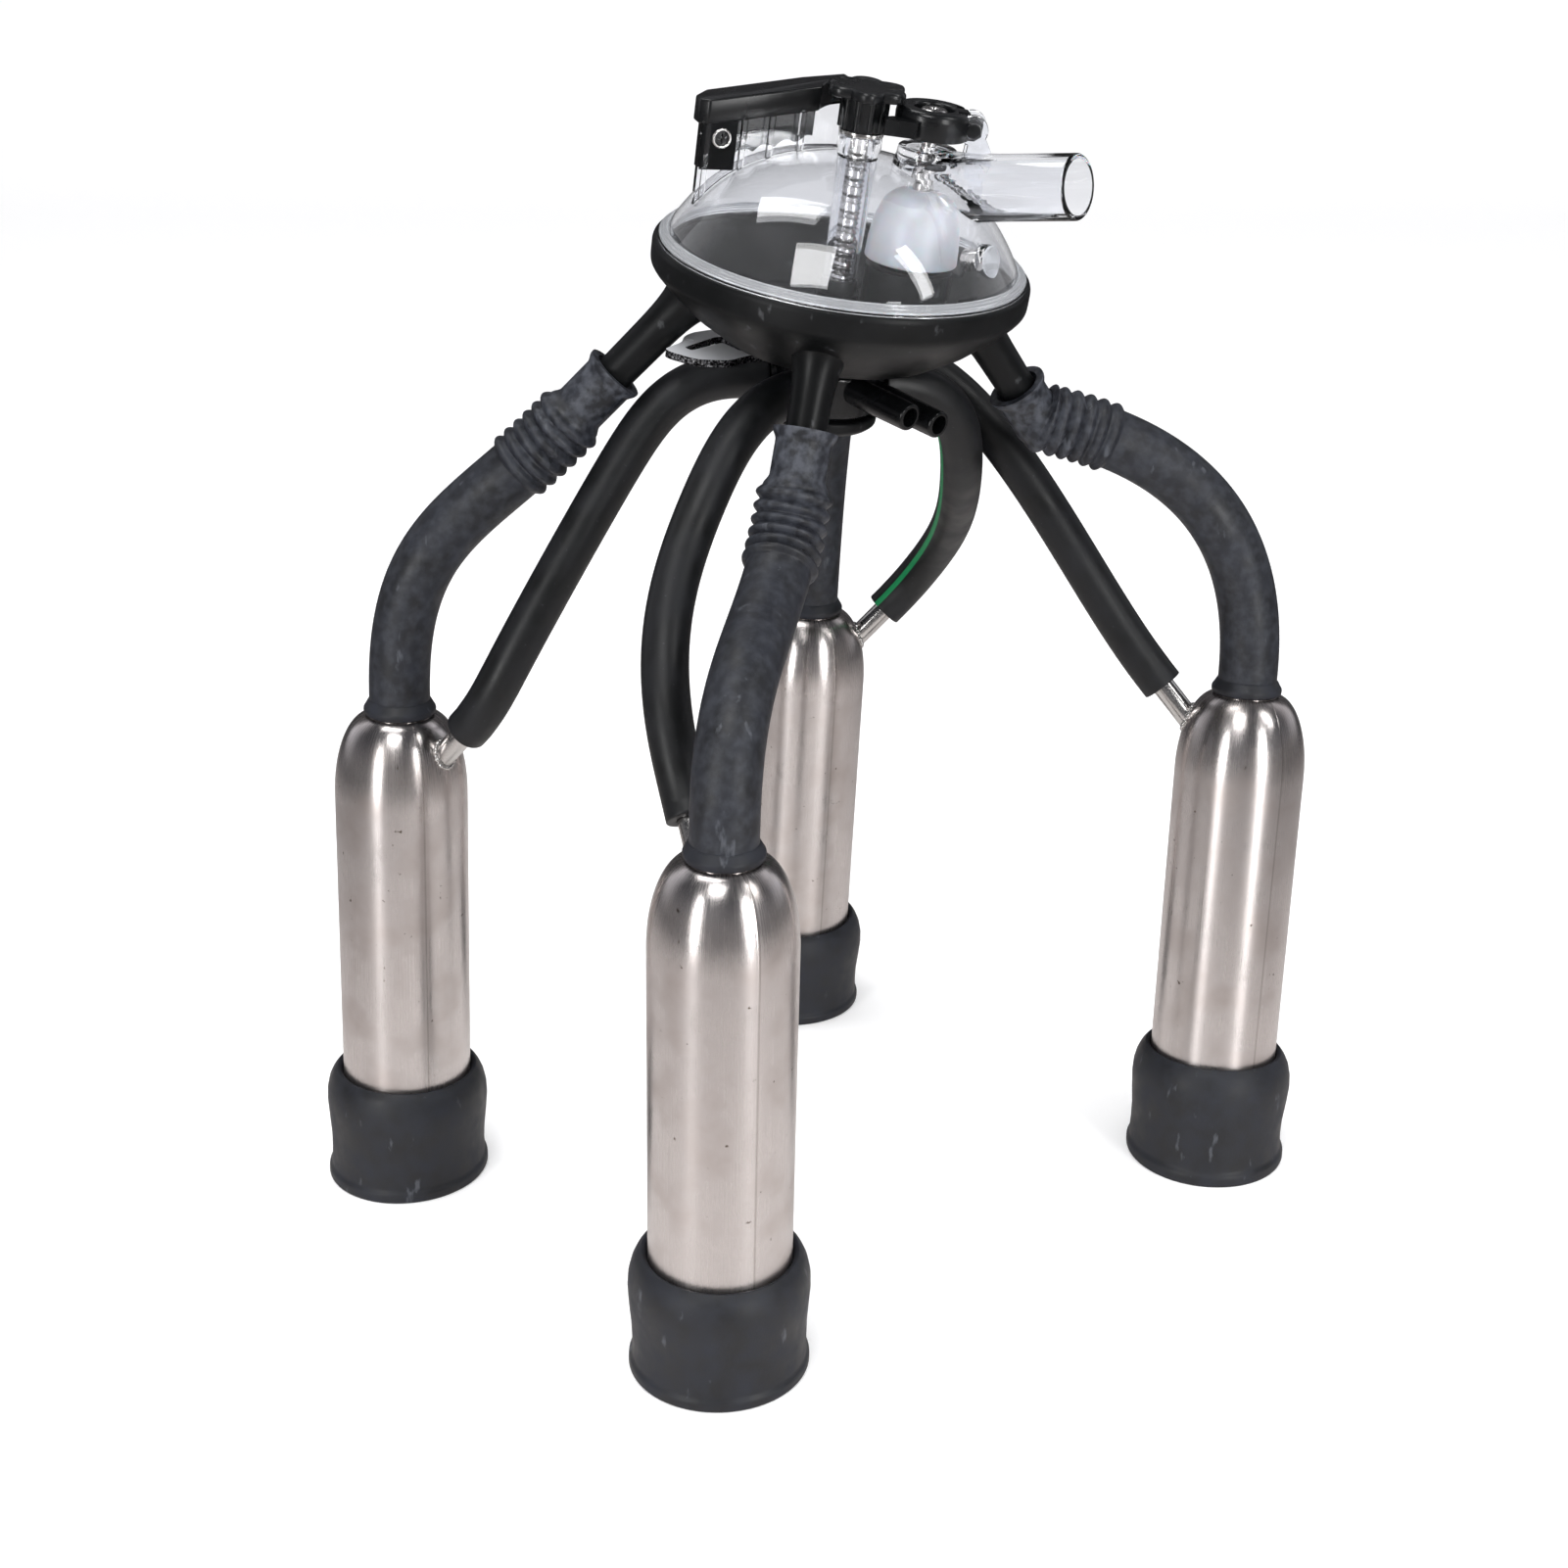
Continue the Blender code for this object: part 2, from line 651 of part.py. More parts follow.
lathe(
    "bowl_gasket",
    [
        (FLANGE_R - 3.4, -3.0),
        (FLANGE_R - 0.2, -3.0),
        (FLANGE_R - 0.2, -1.5),
        (FLANGE_R - 3.4, -1.5),
    ],
    "rubber",
    30,
    CLAW,
    closed=True,
)
lathe(
    "screw_insert",
    [
        (SCREW_R + GAP, INSERT_FOOT),
        (INSERT_R, INSERT_FOOT),
        (INSERT_R, BOSS_TOP),
        (SCREW_R + GAP, BOSS_TOP),
    ],
    "brass",
    20,
    CLAW,
    closed=True,
)
lathe(
    "column_seal",
    [
        (SCREW_R + 0.7, BOSS_TOP + GAP),
        (5.9, BOSS_TOP + GAP),
        (5.6, COLUMN_FOOT - GAP),
        (SCREW_R + 0.7, COLUMN_FOOT - GAP),
    ],
    "rubber",
    20,
    CLAW,
    closed=True,
)

# ---------------------------------------------------------------- distributor and hook plate
plate_outline = [
    (4.0, -15.0),
    (12.5, -8.5),
    (15.0, 0.0),
    (12.5, 8.5),
    (4.0, 15.0),
    (-6.0, 14.5),
    (-16.0, 9.5),
    (-27.0, 7.0),
    (-38.0, 4.8),
    (-44.5, -1.0),
    (-47.0, -6.0),
    (-47.4, -12.0),
    (-50.8, -17.5),
    (-52.4, -20.3),
    (-50.5, -22.6),
    (-42.0, -26.6),
    (-31.5, -23.4),
    (-25.5, -16.0),
    (-16.0, -10.0),
    (-6.0, -14.5),
]
plate = prism("hook_plate", plate_outline, PLATE_TOP - PLATE_THICK, PLATE_TOP, "polished", CLAW)
slot = [
    (-46.4, -16.6),
    (-44.0, -18.6),
    (-34.6, -7.2),
    (-28.6, -13.0),
    (-26.2, -10.6),
    (-34.4, -1.4),
    (-37.0, -2.6),
]
cut(plate, prism("cut_slot", slot, PLATE_TOP - 6, PLATE_TOP + 3, None, CLAW))
cut(plate, rod("cut_plate", (0, 0, PLATE_TOP - 6), (0, 0, PLATE_TOP + 3), 3.0, None, 16, CLAW))

body = lathe(
    "distributor_body",
    [
        (3.0, BODY_FOOT),
        (BODY_R - 1.5, BODY_FOOT),
        (BODY_R, BODY_FOOT + 1.2),
        (BODY_R, BODY_TOP - 1.5),
        (BODY_R - 1.5, BODY_TOP),
        (3.0, BODY_TOP),
    ],
    "black",
    28,
    CLAW,
    closed=True,
)
PORT_ROOT = 12.0
for cup_name, values in CUPS.items():
    a = polar(PORT_ROOT, values[4], PORT_Z)
    b = polar(PORT_OUT, values[4], PORT_Z)
    join(body, rod("add_port_" + cup_name, a, b, PORT_R, None, 14, CLAW))
ALONG = polar(1.0, PIPE_AZIMUTH)
ASIDE = polar(1.0, PIPE_AZIMUTH + 90)
for i, (offset, height, reach) in enumerate(PIPES):
    a = ALONG * 8 + ASIDE * offset + Vector((0, 0, height))
    b = ALONG * reach + ASIDE * offset + Vector((0, 0, height))
    join(body, rod(f"add_pipe_{i}", a, b, PIPE_R, None, 16, CLAW))
for cup_name, values in CUPS.items():
    a = polar(PORT_ROOT + 2, values[4], PORT_Z)
    b = polar(PORT_OUT + 4, values[4], PORT_Z)
    cut(body, rod("cut_port_" + cup_name, a, b, 2.7, None, 12, CLAW))
for i, (offset, height, reach) in enumerate(PIPES):
    a = ALONG * (abs(offset) + 6) + ASIDE * offset + Vector((0, 0, height))
    b = ALONG * (reach + 4) + ASIDE * offset + Vector((0, 0, height))
    cut(body, rod(f"cut_pipe_{i}", a, b, PIPE_BORE_R, None, 16, CLAW))
lathe(
    "distributor_cover",
    [
        (3.0, COVER_FOOT),
        (COVER_R - 2.2, COVER_FOOT),
        (COVER_R, COVER_FOOT + 1.8),
        (COVER_R, BODY_FOOT - GAP - 0.4),
        (COVER_R - 0.4, BODY_FOOT - GAP),
        (3.0, BODY_FOOT - GAP),
    ],
    "black",
    28,
    CLAW,
    closed=True,
)
lathe(
    "distributor_screw",
    [
        (0.0, COVER_FOOT - 3.3),
        (3.6, COVER_FOOT - 3.3),
        (5.0, COVER_FOOT - 2.2),
        (5.2, COVER_FOOT - GAP),
        (2.5, COVER_FOOT - GAP),
        (2.5, -25.9),
        (0.0, -25.9),
    ],
    "steel",
    18,
    CLAW,
)

# ---------------------------------------------------------------- upper bowl
def dome_height(radius, sphere=DOME_R):
    """A cap of a sphere, with fuller shoulders."""
    fuller = DOME_FULLER * math.sin(math.pi * min(radius / 56.0, 1.0) ** 2.2)
    return DOME_CENTRE + math.sqrt(max(0.0, sphere**2 - radius**2)) + fuller


INNER_R = DOME_R - DOME_WALL
dome = [(0.0, dome_height(0.0))]
dome += [(r, dome_height(r)) for r in (10.0, 20.0, 29.5, 38.0, 45.5, 51.0, 54.4, 56.0)]
dome += [(FLANGE_R - 0.8, 1.9), (FLANGE_R, 1.2), (FLANGE_R, -1.2), (54.9, -1.2)]
dome += [
    (r, dome_height(r, INNER_R)) for r in (53.6, 49.5, 43.0, 35.0, 26.0, 14.0, 0.0)
]
upper = lathe("upper_bowl", dome, "clear", 30, CLAW)

outlet_way = Vector(
    (
        math.cos(math.radians(OUTLET_AZIMUTH)) * math.cos(math.radians(OUTLET_RISE)),
        math.sin(math.radians(OUTLET_AZIMUTH)) * math.cos(math.radians(OUTLET_RISE)),
        math.sin(math.radians(OUTLET_RISE)),
    )
)
outlet_root = Vector((VALVE_X, 0, OUTLET_START))
outlet_end = outlet_root + outlet_way * OUTLET_LENGTH
outside = rod("add_outlet", outlet_root, outlet_end, OUTLET_R, None, 24, CLAW)
turret = lathe(
    "add_turret",
    [
        (0.0, 16.0),
        (11.5, 16.0),
        (9.6, 28.0),
        (7.8, TURRET_TOP - 0.6),
        (7.2, TURRET_TOP),
        (0.0, TURRET_TOP),
    ],
    None,
    24,
    CLAW,
    centre=(VALVE_X, 0),
)
join(outside, turret)

wall_dir = Vector((HANDLE_RIGHT[0] - HANDLE_LEFT[0], HANDLE_RIGHT[1] - HANDLE_LEFT[1], 0))
WALL_LENGTH = wall_dir.length
wall_dir.normalize()
wall_side = Vector((-wall_dir.y, wall_dir.x, 0))


def on_wall(along, behind):
    """Plan position of a point along the handle's wall and behind its front face."""
    p = Vector((HANDLE_LEFT[0], HANDLE_LEFT[1], 0)) + wall_dir * along + wall_side * behind
    return (p.x, p.y)


def wall_top(x, y, extra=0.0):
    along = (Vector((x, y, 0)) - Vector((HANDLE_LEFT[0], HANDLE_LEFT[1], 0))).dot(wall_dir)
    return HANDLE_TOP_LEFT + (HANDLE_TOP_RIGHT - HANDLE_TOP_LEFT) * along / WALL_LENGTH + extra


def strip(along, behind):
    """Plan outline of a straight strip along the handle's wall."""
    (a, b), (c, d) = along, behind
    return [on_wall(a, c), on_wall(b, c), on_wall(b, d), on_wall(a, d)]


wall = prism(
    "add_wall", strip((0.0, WALL_LENGTH + 7.0), (0.0, HANDLE_WALL)), 2.0, wall_top, None, CLAW
)
join(outside, wall)
for i, along in enumerate((12.6, 21.5, 31.5)):
    rib = prism(
        f"add_rib_{i}",
        strip((along, along + 1.6), (-1.8, 1.0)),
        2.0,
        lambda x, y: wall_top(x, y, -0.4),
        None,
        CLAW,
    )
    join(outside, rib)
eye_neck = [
    (PIN_X - 2.2, 16.0),
    (PIN_X + 6.7, 16.0),
    (PIN_X + 7.2, 37.0),
    (PIN_X + 4.2, 42.0),
    (PIN_X - 0.8, 42.5),
]
for i, (low, high) in enumerate(((-4.8, -2.6), (2.6, 4.8))):
    loops = [[(x, y, z) for x, z in eye_neck] for y in (low, high)]
    lug = loops_solid(f"add_lug_{i}", loops, None, CLAW, closed=False)
    join(outside, lug)
    eye = rod(f"add_eye_{i}", (PIN_X, low, PIN_Z), (PIN_X, high, PIN_Z), EYE_R, None, 18, CLAW)
    join(outside, eye)
plug_way = Vector((0.80, -0.56, 0.22)).normalized()
plug_at = Vector((41.6, -25.5, 10.5))
join(
    outside,
    rod("add_plug", plug_at - plug_way * 9, plug_at + plug_way * 1.6, 5.2, None, 18, CLAW),
)
void = [(0.0, -12.0), (55.5, -12.0), (55.5, -2.0)]
void += [(r, dome_height(r, INNER_R + 0.7)) for r in (54.0, 49.5, 43.0, 35.0)]
void += [(r, dome_height(r, INNER_R + 0.7)) for r in (26.0, 14.0, 0.0)]
cut(outside, lathe("cut_void", void, None, 30, CLAW))
join(upper, outside)
column = lathe(
    "add_column",
    [
        (0.0, COLUMN_FOOT),
        (COLUMN_FOOT_R, COLUMN_FOOT),
        (COLUMN_TOP_R, COLUMN_TOP - 6),
        (COLUMN_TOP_R + 0.6, COLUMN_TOP),
        (0.0, COLUMN_TOP),
    ],
    None,
    20,
    CLAW,
)
join(upper, column)
cut(
    upper,
    rod("cut_column", (0, 0, COLUMN_FOOT - 3), (0, 0, COLUMN_TOP + 3), COLUMN_BORE_R, None, 16, CLAW),
)
chamber = lathe(
    "cut_chamber",
    [(0.0, 18.0), (6.2, 18.0), (6.2, 33.2), (0.0, 33.2)],
    None,
    20,
    CLAW,
    centre=(VALVE_X, 0),
)
cut(upper, chamber)
cut(
    upper,
    rod("cut_stem", (VALVE_X, 0, 30), (VALVE_X, 0, 40), STEM_R + 0.4, None, 16, CLAW),
)
bore_start = outlet_root + outlet_way * 3
cut(upper, rod("cut_outlet", bore_start, outlet_end + outlet_way * 3, OUTLET_BORE_R, None, 24, CLAW))
cut(upper, rod("cut_pin", (PIN_X, -8, PIN_Z), (PIN_X, 8, PIN_Z), PIN_R + GAP, None, 18, CLAW))
gap_outline = [(PIN_X - 6.8, 42.6), (PIN_X, 42.6), (PIN_X, 45.6), (PIN_X - 6.8, 45.6)]
loops = [[(x, y, z) for x, z in gap_outline] for y in (-6.0, 6.0)]
cut(upper, loops_solid("cut_eye_gap", loops, None, CLAW, closed=False))
rivet_at = on_wall(6.6, 0.0)
RIVET_Z = 32.4
rivet_back = Vector((*on_wall(6.6, 8.0), RIVET_Z))
rivet_front = Vector((*on_wall(6.6, -6.0), RIVET_Z))
cut(upper, rod("cut_rivet", rivet_front, rivet_back, 1.5 + GAP, None, 14, CLAW))

# Cover of the handle
cover_outline = [
    on_wall(-0.8, 1.6),
    on_wall(1.4, -0.9),
    on_wall(WALL_LENGTH - 1.2, -0.9),
    on_wall(WALL_LENGTH - 1.2, COVER_DEPTH - 3.5),
    on_wall(WALL_LENGTH - 8.0, COVER_DEPTH),
    on_wall(4.0, COVER_DEPTH),
    on_wall(-0.8, COVER_DEPTH - 4.5),
]
cover = prism(
    "handle_cover",
    cover_outline,
    lambda x, y: wall_top(x, y, GAP),
    lambda x, y: wall_top(x, y, COVER_HEIGHT),
    "black",
    CLAW,
)


def skirt_foot(x, y):
    along = (Vector((x, y, 0)) - Vector((HANDLE_LEFT[0], HANDLE_LEFT[1], 0))).dot(wall_dir)
    return SKIRT_FOOT_LEFT + (SKIRT_FOOT_RIGHT - SKIRT_FOOT_LEFT) * along / WALL_LENGTH


skirt = prism(
    "add_skirt",
    strip((0.4, WALL_LENGTH - 1.6), (HANDLE_WALL + 0.4, HANDLE_WALL + 2.4)),
    skirt_foot,
    lambda x, y: wall_top(x, y, 2.0),
    None,
    CLAW,
)
join(cover, skirt)
cut(cover, rod("cut_rivet_2", rivet_front, rivet_back, 1.5 + GAP, None, 14, CLAW))
front = Vector((*rivet_at, RIVET_Z))
rivet_steps = (
    (-1.6, 2.2),
    (-1.0, RIVET_R),
    (-GAP, RIVET_R),
    (-GAP, 1.5),
    (HANDLE_WALL + 2.4 + GAP, 1.5),
    (HANDLE_WALL + 2.4 + GAP, RIVET_R - 0.4),
    (HANDLE_WALL + 3.4, RIVET_R - 0.4),
)
ru, rv = across(wall_side)
turns = [2 * math.pi * i / 14 for i in range(14)]
loops = [
    [front + wall_side * d + ru * r * math.cos(t) + rv * r * math.sin(t) for t in turns]
    for d, r in rivet_steps
]
loops_solid("cover_rivet", loops, "steel", CLAW, closed=False, at=front)

# ---------------------------------------------------------------- knob and clamp screw
star = []
for i in range(36):
    turn = 2 * math.pi * i / 36
    wave = 0.5 + 0.5 * math.cos(KNOB_LOBES * turn + math.pi)
    radius = KNOB_VALLEY_R + (KNOB_R - KNOB_VALLEY_R) * wave
    star.append((radius * math.cos(turn), radius * math.sin(turn)))
small = [(x * 0.93, y * 0.93) for x, y in star]
knob_foot = KNOB_TOP - KNOB_PLATE
loops = [
    [(x, y, knob_foot) for x, y in small],
    [(x, y, knob_foot + 0.7) for x, y in star],
    [(x, y, KNOB_TOP - 0.8) for x, y in star],
    [(x, y, KNOB_TOP) for x, y in small],
]
knob = loops_solid("knob", loops, "black", CLAW, closed=False)
flutes = []
for i in range(40):
    turn = 2 * math.pi * i / 40
    radius = HUB_R - (0.55 if i % 4 == 0 else 0.0)
    flutes.append((radius * math.cos(turn), radius * math.sin(turn)))
join(knob, prism("add_hub", flutes, HUB_FOOT, knob_foot + 1.0, None, CLAW))
cut(
    knob,
    rod("cut_knob", (0, 0, HUB_FOOT - 3), (0, 0, KNOB_TOP - 4.6), SCREW_R + GAP, None, 16, CLAW),
)
lathe(
    "clamp_screw",
    [
        (0.0, SCREW_TIP),
        (SCREW_R - 0.8, SCREW_TIP),
        (SCREW_R, SCREW_TIP + 1.2),
        (SCREW_R, KNOB_TOP - 5.0),
        (0.0, KNOB_TOP - 5.0),
    ],
    "steel",
    16,
    CLAW,
)
lathe(
    "knob_washer",
    [
        (SCREW_R + GAP, COLUMN_TOP + GAP),
        (7.1, COLUMN_TOP + GAP),
        (7.1, HUB_FOOT - GAP),
        (SCREW_R + GAP, HUB_FOOT - GAP),
    ],
    "steel",
    20,
    CLAW,
    closed=True,
)

# ---------------------------------------------------------------- valve
lathe(
    "valve_stem",
    [
        (0.0, 17.8),
        (4.8, 17.8),
        (4.8, 19.4),
        (STEM_R, 19.6),
        (STEM_R, HEAD_FOOT),
        (4.2, HEAD_FOOT),
        (4.2, 47.7),
        (3.4, 48.3),
        (0.0, 48.3),
    ],
    "steel",
    16,
    CLAW,
    centre=(VALVE_X, 0),
)
lathe(
    "valve_bell",
    [
        (STEM_R + GAP, BELL_TOP),
        (6.0, BELL_TOP - 0.5),
        (10.2, 20.3),
        (13.0, 15.8),
        (14.4, 9.5),
        (BELL_R, BELL_FOOT),
        (BELL_R - 1.9, BELL_FOOT),
        (12.5, 9.0),
        (11.2, 14.6),
        (8.6, 18.4),
        (5.6, 19.9),
        (STEM_R + GAP, 19.9),
    ],
    "silicone",
    24,
    CLAW,
    closed=True,
    centre=(VALVE_X, 0),
)
lathe(
    "stem_seal",
    [(STEM_R + GAP, 30.4), (5.9, 30.4), (5.9, 32.9), (STEM_R + GAP, 32.9)],
    "rubber",
    16,
    CLAW,
    closed=True,
    centre=(VALVE_X, 0),
)
lever = lathe(
    "valve_lever",
    [
        (3.6, WEB_FOOT),
        (RING_HOLE_R, WEB_FOOT),
        (RING_HOLE_R, RING_FOOT),
        (RING_R, RING_FOOT),
        (RING_R, RING_TOP - 0.9),
        (RING_R - 0.9, RING_TOP),
        (RING_HOLE_R, RING_TOP),
        (RING_HOLE_R, WEB_TOP),
        (3.6, WEB_TOP),
    ],
    "black",
    32,
    CLAW,
    closed=True,
    centre=(VALVE_X, 0),
    at=(PIN_X, 0, PIN_Z),
)
tongue = [
    (PIN_X - 5.9, 40.6),
    (PIN_X + 0.8, 40.6),
    (PIN_X + 2.8, 42.2),
    (PIN_X + 2.8, 45.8),
    (PIN_X + 0.8, 47.4),
    (PIN_X - 5.9, 47.4),
]
loops = [[(x, y, z) for x, z in tongue] for y in (-2.2, 2.2)]
for i, (low, high) in enumerate(((-5.3, -2.2), (2.2, 5.3))):
    near, far = PIN_X - 5.4, PIN_X + 6.2
    outline = [(near, low), (far, low), (far, high), (near, high)]
    cut(lever, prism(f"cut_jaw_{i}", outline, 38.0, 51.0, None, CLAW))
join(lever, loops_solid("add_tongue", loops, None, CLAW, closed=False))
tab = [
    (VALVE_X - 15.1, -12.4),
    (VALVE_X - 5.3, -12.4),
    (VALVE_X - 5.3, -6.6),
    (VALVE_X - 12.7, -6.6),
    (VALVE_X - 15.1, -8.6),
]
join(lever, prism("add_tab", tab, 41.0, 45.8, None, CLAW))
keep_clear = rod(
    "cut_ring", (VALVE_X, 0, 38), (VALVE_X, 0, WEB_FOOT), RING_HOLE_R - 0.05, None, 32, CLAW
)
cut(lever, keep_clear)
cut(lever, rod("cut_lever_pin", (PIN_X, -8, PIN_Z), (PIN_X, 8, PIN_Z), PIN_R + GAP, None, 18, CLAW))
rod("lever_pin", (PIN_X, -5.8, PIN_Z), (PIN_X, 5.8, PIN_Z), PIN_R, "black", 18, CLAW)

# ---------------------------------------------------------------- origin at the middle of the foot
bpy.context.view_layer.update()
graph = bpy.context.evaluated_depsgraph_get()
corners = []
for obj in made:
    shape = obj.evaluated_get(graph)
    corners += [shape.matrix_world @ Vector(corner) for corner in shape.bound_box]
middle_x = (min(c.x for c in corners) + max(c.x for c in corners)) / 2
middle_y = (min(c.y for c in corners) + max(c.y for c in corners)) / 2
for obj in made + helpers:
    obj.matrix_world = Matrix.Translation((-middle_x, -middle_y, 0.0)) @ obj.matrix_world
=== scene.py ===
# %% [markdown]
# # A milking cluster, piece by piece
# Four steel teat cups stand on their rubber mouthpieces, and rubber tubes carry the claw above
# them: a black bowl under a clear dome, with a shut-off valve, a clamp knob and a hanging hook.
# The CAD model fixes every place and size. This script loads it, makes a finer piece for each
# part that shows, and gives each one a finish. The first cell loads the frame.

# %% Load the frame
import json
import math

import bmesh
import bpy
from mathutils import Matrix, Vector, noise

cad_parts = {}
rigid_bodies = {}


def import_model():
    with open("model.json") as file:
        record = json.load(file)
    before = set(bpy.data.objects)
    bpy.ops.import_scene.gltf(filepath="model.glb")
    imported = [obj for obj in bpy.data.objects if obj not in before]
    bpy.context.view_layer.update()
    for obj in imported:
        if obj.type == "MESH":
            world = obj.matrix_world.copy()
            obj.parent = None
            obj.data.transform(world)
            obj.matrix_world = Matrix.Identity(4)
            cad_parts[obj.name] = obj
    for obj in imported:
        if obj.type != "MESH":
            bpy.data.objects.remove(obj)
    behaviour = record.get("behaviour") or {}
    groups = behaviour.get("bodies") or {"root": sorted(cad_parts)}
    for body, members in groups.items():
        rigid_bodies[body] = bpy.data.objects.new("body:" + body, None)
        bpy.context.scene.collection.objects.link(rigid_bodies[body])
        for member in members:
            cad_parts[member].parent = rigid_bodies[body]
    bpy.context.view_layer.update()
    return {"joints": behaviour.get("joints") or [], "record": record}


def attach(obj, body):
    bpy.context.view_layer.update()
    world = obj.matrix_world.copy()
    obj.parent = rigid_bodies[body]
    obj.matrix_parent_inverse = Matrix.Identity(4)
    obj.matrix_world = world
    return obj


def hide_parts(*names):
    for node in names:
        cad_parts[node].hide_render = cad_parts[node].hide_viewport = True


for startup in list(bpy.data.objects):
    bpy.data.objects.remove(startup, do_unlink=True)
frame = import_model()
MM = 0.001
GAP = 0.3

# %% [markdown]
# ## Where things are
# The claw is tilted, so its parts are easier to draw in a frame of their own. The joints give
# that frame: the knob turns about the claw's Z axis, and the valve lever about its Y axis. Each
# cup's foot is found from the mount on its lip, which lies 20 mm to the right of the middle.

# %% The claw's frame and the cups' feet
joints = {joint["name"]: joint for joint in frame["joints"]}
mounts = {mount["name"]: mount for mount in frame["record"]["mounts"]}
KNOB_HINGE_HEIGHT = 45.0
MOUNT_TO_FOOT = Vector((20.0, 0.0, 0.0))
claw_z = Vector(joints["knob_turn"]["axis"]).normalized()
claw_y = Vector(joints["lever_tilt"]["axis"]).normalized()
claw_x = claw_y.cross(claw_z)
claw_origin = Vector(joints["knob_turn"]["pos_m"]) / MM - claw_z * KNOB_HINGE_HEIGHT
CLAW = Matrix((claw_x, claw_y, claw_z)).transposed().to_4x4()
CLAW.translation = claw_origin
WORLD = Matrix.Identity(4)
FEET = {
    cup: Vector(mounts["mouthpiece_" + cup]["pos_m"]) / MM - MOUNT_TO_FOOT
    for cup in ("front", "left", "right", "back")
}
print("claw origin in mm:", [round(v, 2) for v in claw_origin])

# %% [markdown]
# ## Camera
# The camera stands as far off as a person's eye, a little above the claw and looking down on
# the cups. A 49.7 mm lens at 70 cm gives the strong perspective that makes the near cup large.

# %% Camera
CAMERA_AT = Vector((-10.85, -701.37, 416.97))
CAMERA_DOWN = math.radians(21.129)
CAMERA_ROLL = math.radians(0.329)
lens = bpy.data.cameras.new("camera")
lens.lens = 49.70
lens.sensor_width = 36.0
camera = bpy.data.objects.new("camera", lens)
bpy.context.scene.collection.objects.link(camera)
camera_turn = Matrix.Rotation(math.pi / 2 - CAMERA_DOWN, 4, "X") @ Matrix.Rotation(CAMERA_ROLL, 4, "Z")
camera.matrix_world = Matrix.Translation(CAMERA_AT * MM) @ camera_turn
bpy.context.scene.camera = camera
print("camera in mm:", [round(v, 1) for v in CAMERA_AT])

# %% [markdown]
# ## Studio
# Steel and clear plastic show what is around them, so the room matters more than the lamps. A
# big soft box hangs over the camera, a second to the right and a third overhead: the dome
# reflects those three. Two low strips stand nearer the floor and draw the bright band on each
# side of a steel cup. Reflections see a dim room with a pale backdrop, and a floor with a painted
# pool of light near the object, because an evenly white room would leave steel with no shape.

# %% Soft boxes
scene = bpy.context.scene
scene.view_settings.view_transform = "Standard"


def soft_box(name, azimuth, rise, distance, size, power):
    """An area light that looks at the claw. Azimuth 0 is beside the camera; rise is above level."""
    lamp = bpy.data.lights.new(name, "AREA")
    lamp.shape = "RECTANGLE"
    lamp.size, lamp.size_y = size
    lamp.energy = power
    obj = bpy.data.objects.new(name, lamp)
    scene.collection.objects.link(obj)
    turn, lift = math.radians(azimuth), math.radians(rise)
    away = Vector((math.sin(turn) * math.cos(lift), -math.cos(turn) * math.cos(lift), math.sin(lift)))
    obj.location = Vector((0.0, 0.0, 0.3)) + away * distance
    obj.rotation_euler = (-away).to_track_quat("-Z", "Y").to_euler()


soft_box("box_over_camera", -16.0, 50.0, 1.4, (0.5, 0.56), 7.0)
soft_box("box_right", 62.0, 39.0, 1.4, (0.2, 0.66), 3.6)
soft_box("box_overhead", -115.0, 74.0, 1.3, (0.42, 0.62), 4.5)
soft_box("strip_left", -38.0, 3.0, 1.1, (0.14, 0.62), 3.6)
soft_box("strip_right", 36.0, 3.0, 1.1, (0.16, 0.62), 4.4)

# %% [markdown]
# Colours are written as sRGB hex, as a paint chart gives them, and one function turns them to
# the linear values that shaders need. A second one adds a node with its settings and links.


# %% Colour and node helpers
def linear(text):
    """A colour from sRGB hex text, as the linear RGBA that shaders take."""
    channels = [int(text[i : i + 2], 16) / 255.0 for i in (1, 3, 5)]
    return [c / 12.92 if c <= 0.04045 else ((c + 0.055) / 1.055) ** 2.4 for c in channels] + [1.0]


def add(tree, kind, inputs=None, stops=(), **settings):
    """Adds a node with its settings and inputs. An input is a value, a hex colour, a socket to
    link, or a node, which gives its first output. Stops are a colour ramp's places and colours."""
    node = tree.nodes.new(kind)
    for key, value in settings.items():
        setattr(node, key, value)
    for key, value in (inputs or {}).items():
        if isinstance(value, bpy.types.Node):
            value = value.outputs[0]
        if isinstance(value, bpy.types.NodeSocket):
            tree.links.new(value, node.inputs[key])
        elif isinstance(value, str) and value.startswith("#"):
            node.inputs[key].default_value = linear(value)
        else:
            node.inputs[key].default_value = value
    for i, (position, text) in enumerate(stops):
        points = node.color_ramp.elements
        point = points[i] if i < len(points) else points.new(position)
        point.position, point.color = position, linear(text)
    return node


def mirrored(tree, ray):
    """1 for a ray that a glossy surface has sent on, and 0 for the camera's rays and soft light."""
    flags = {0: ray["Is Glossy Ray"], 1: ray["Is Reflection Ray"]}
    return add(tree, "ShaderNodeMath", flags, operation="MULTIPLY")


# %% [markdown]
# The room is a world shader. Glossy rays see the walls, which are grey in front and pale behind.
# All other rays meet an even white, which lights the cluster softly from every side.

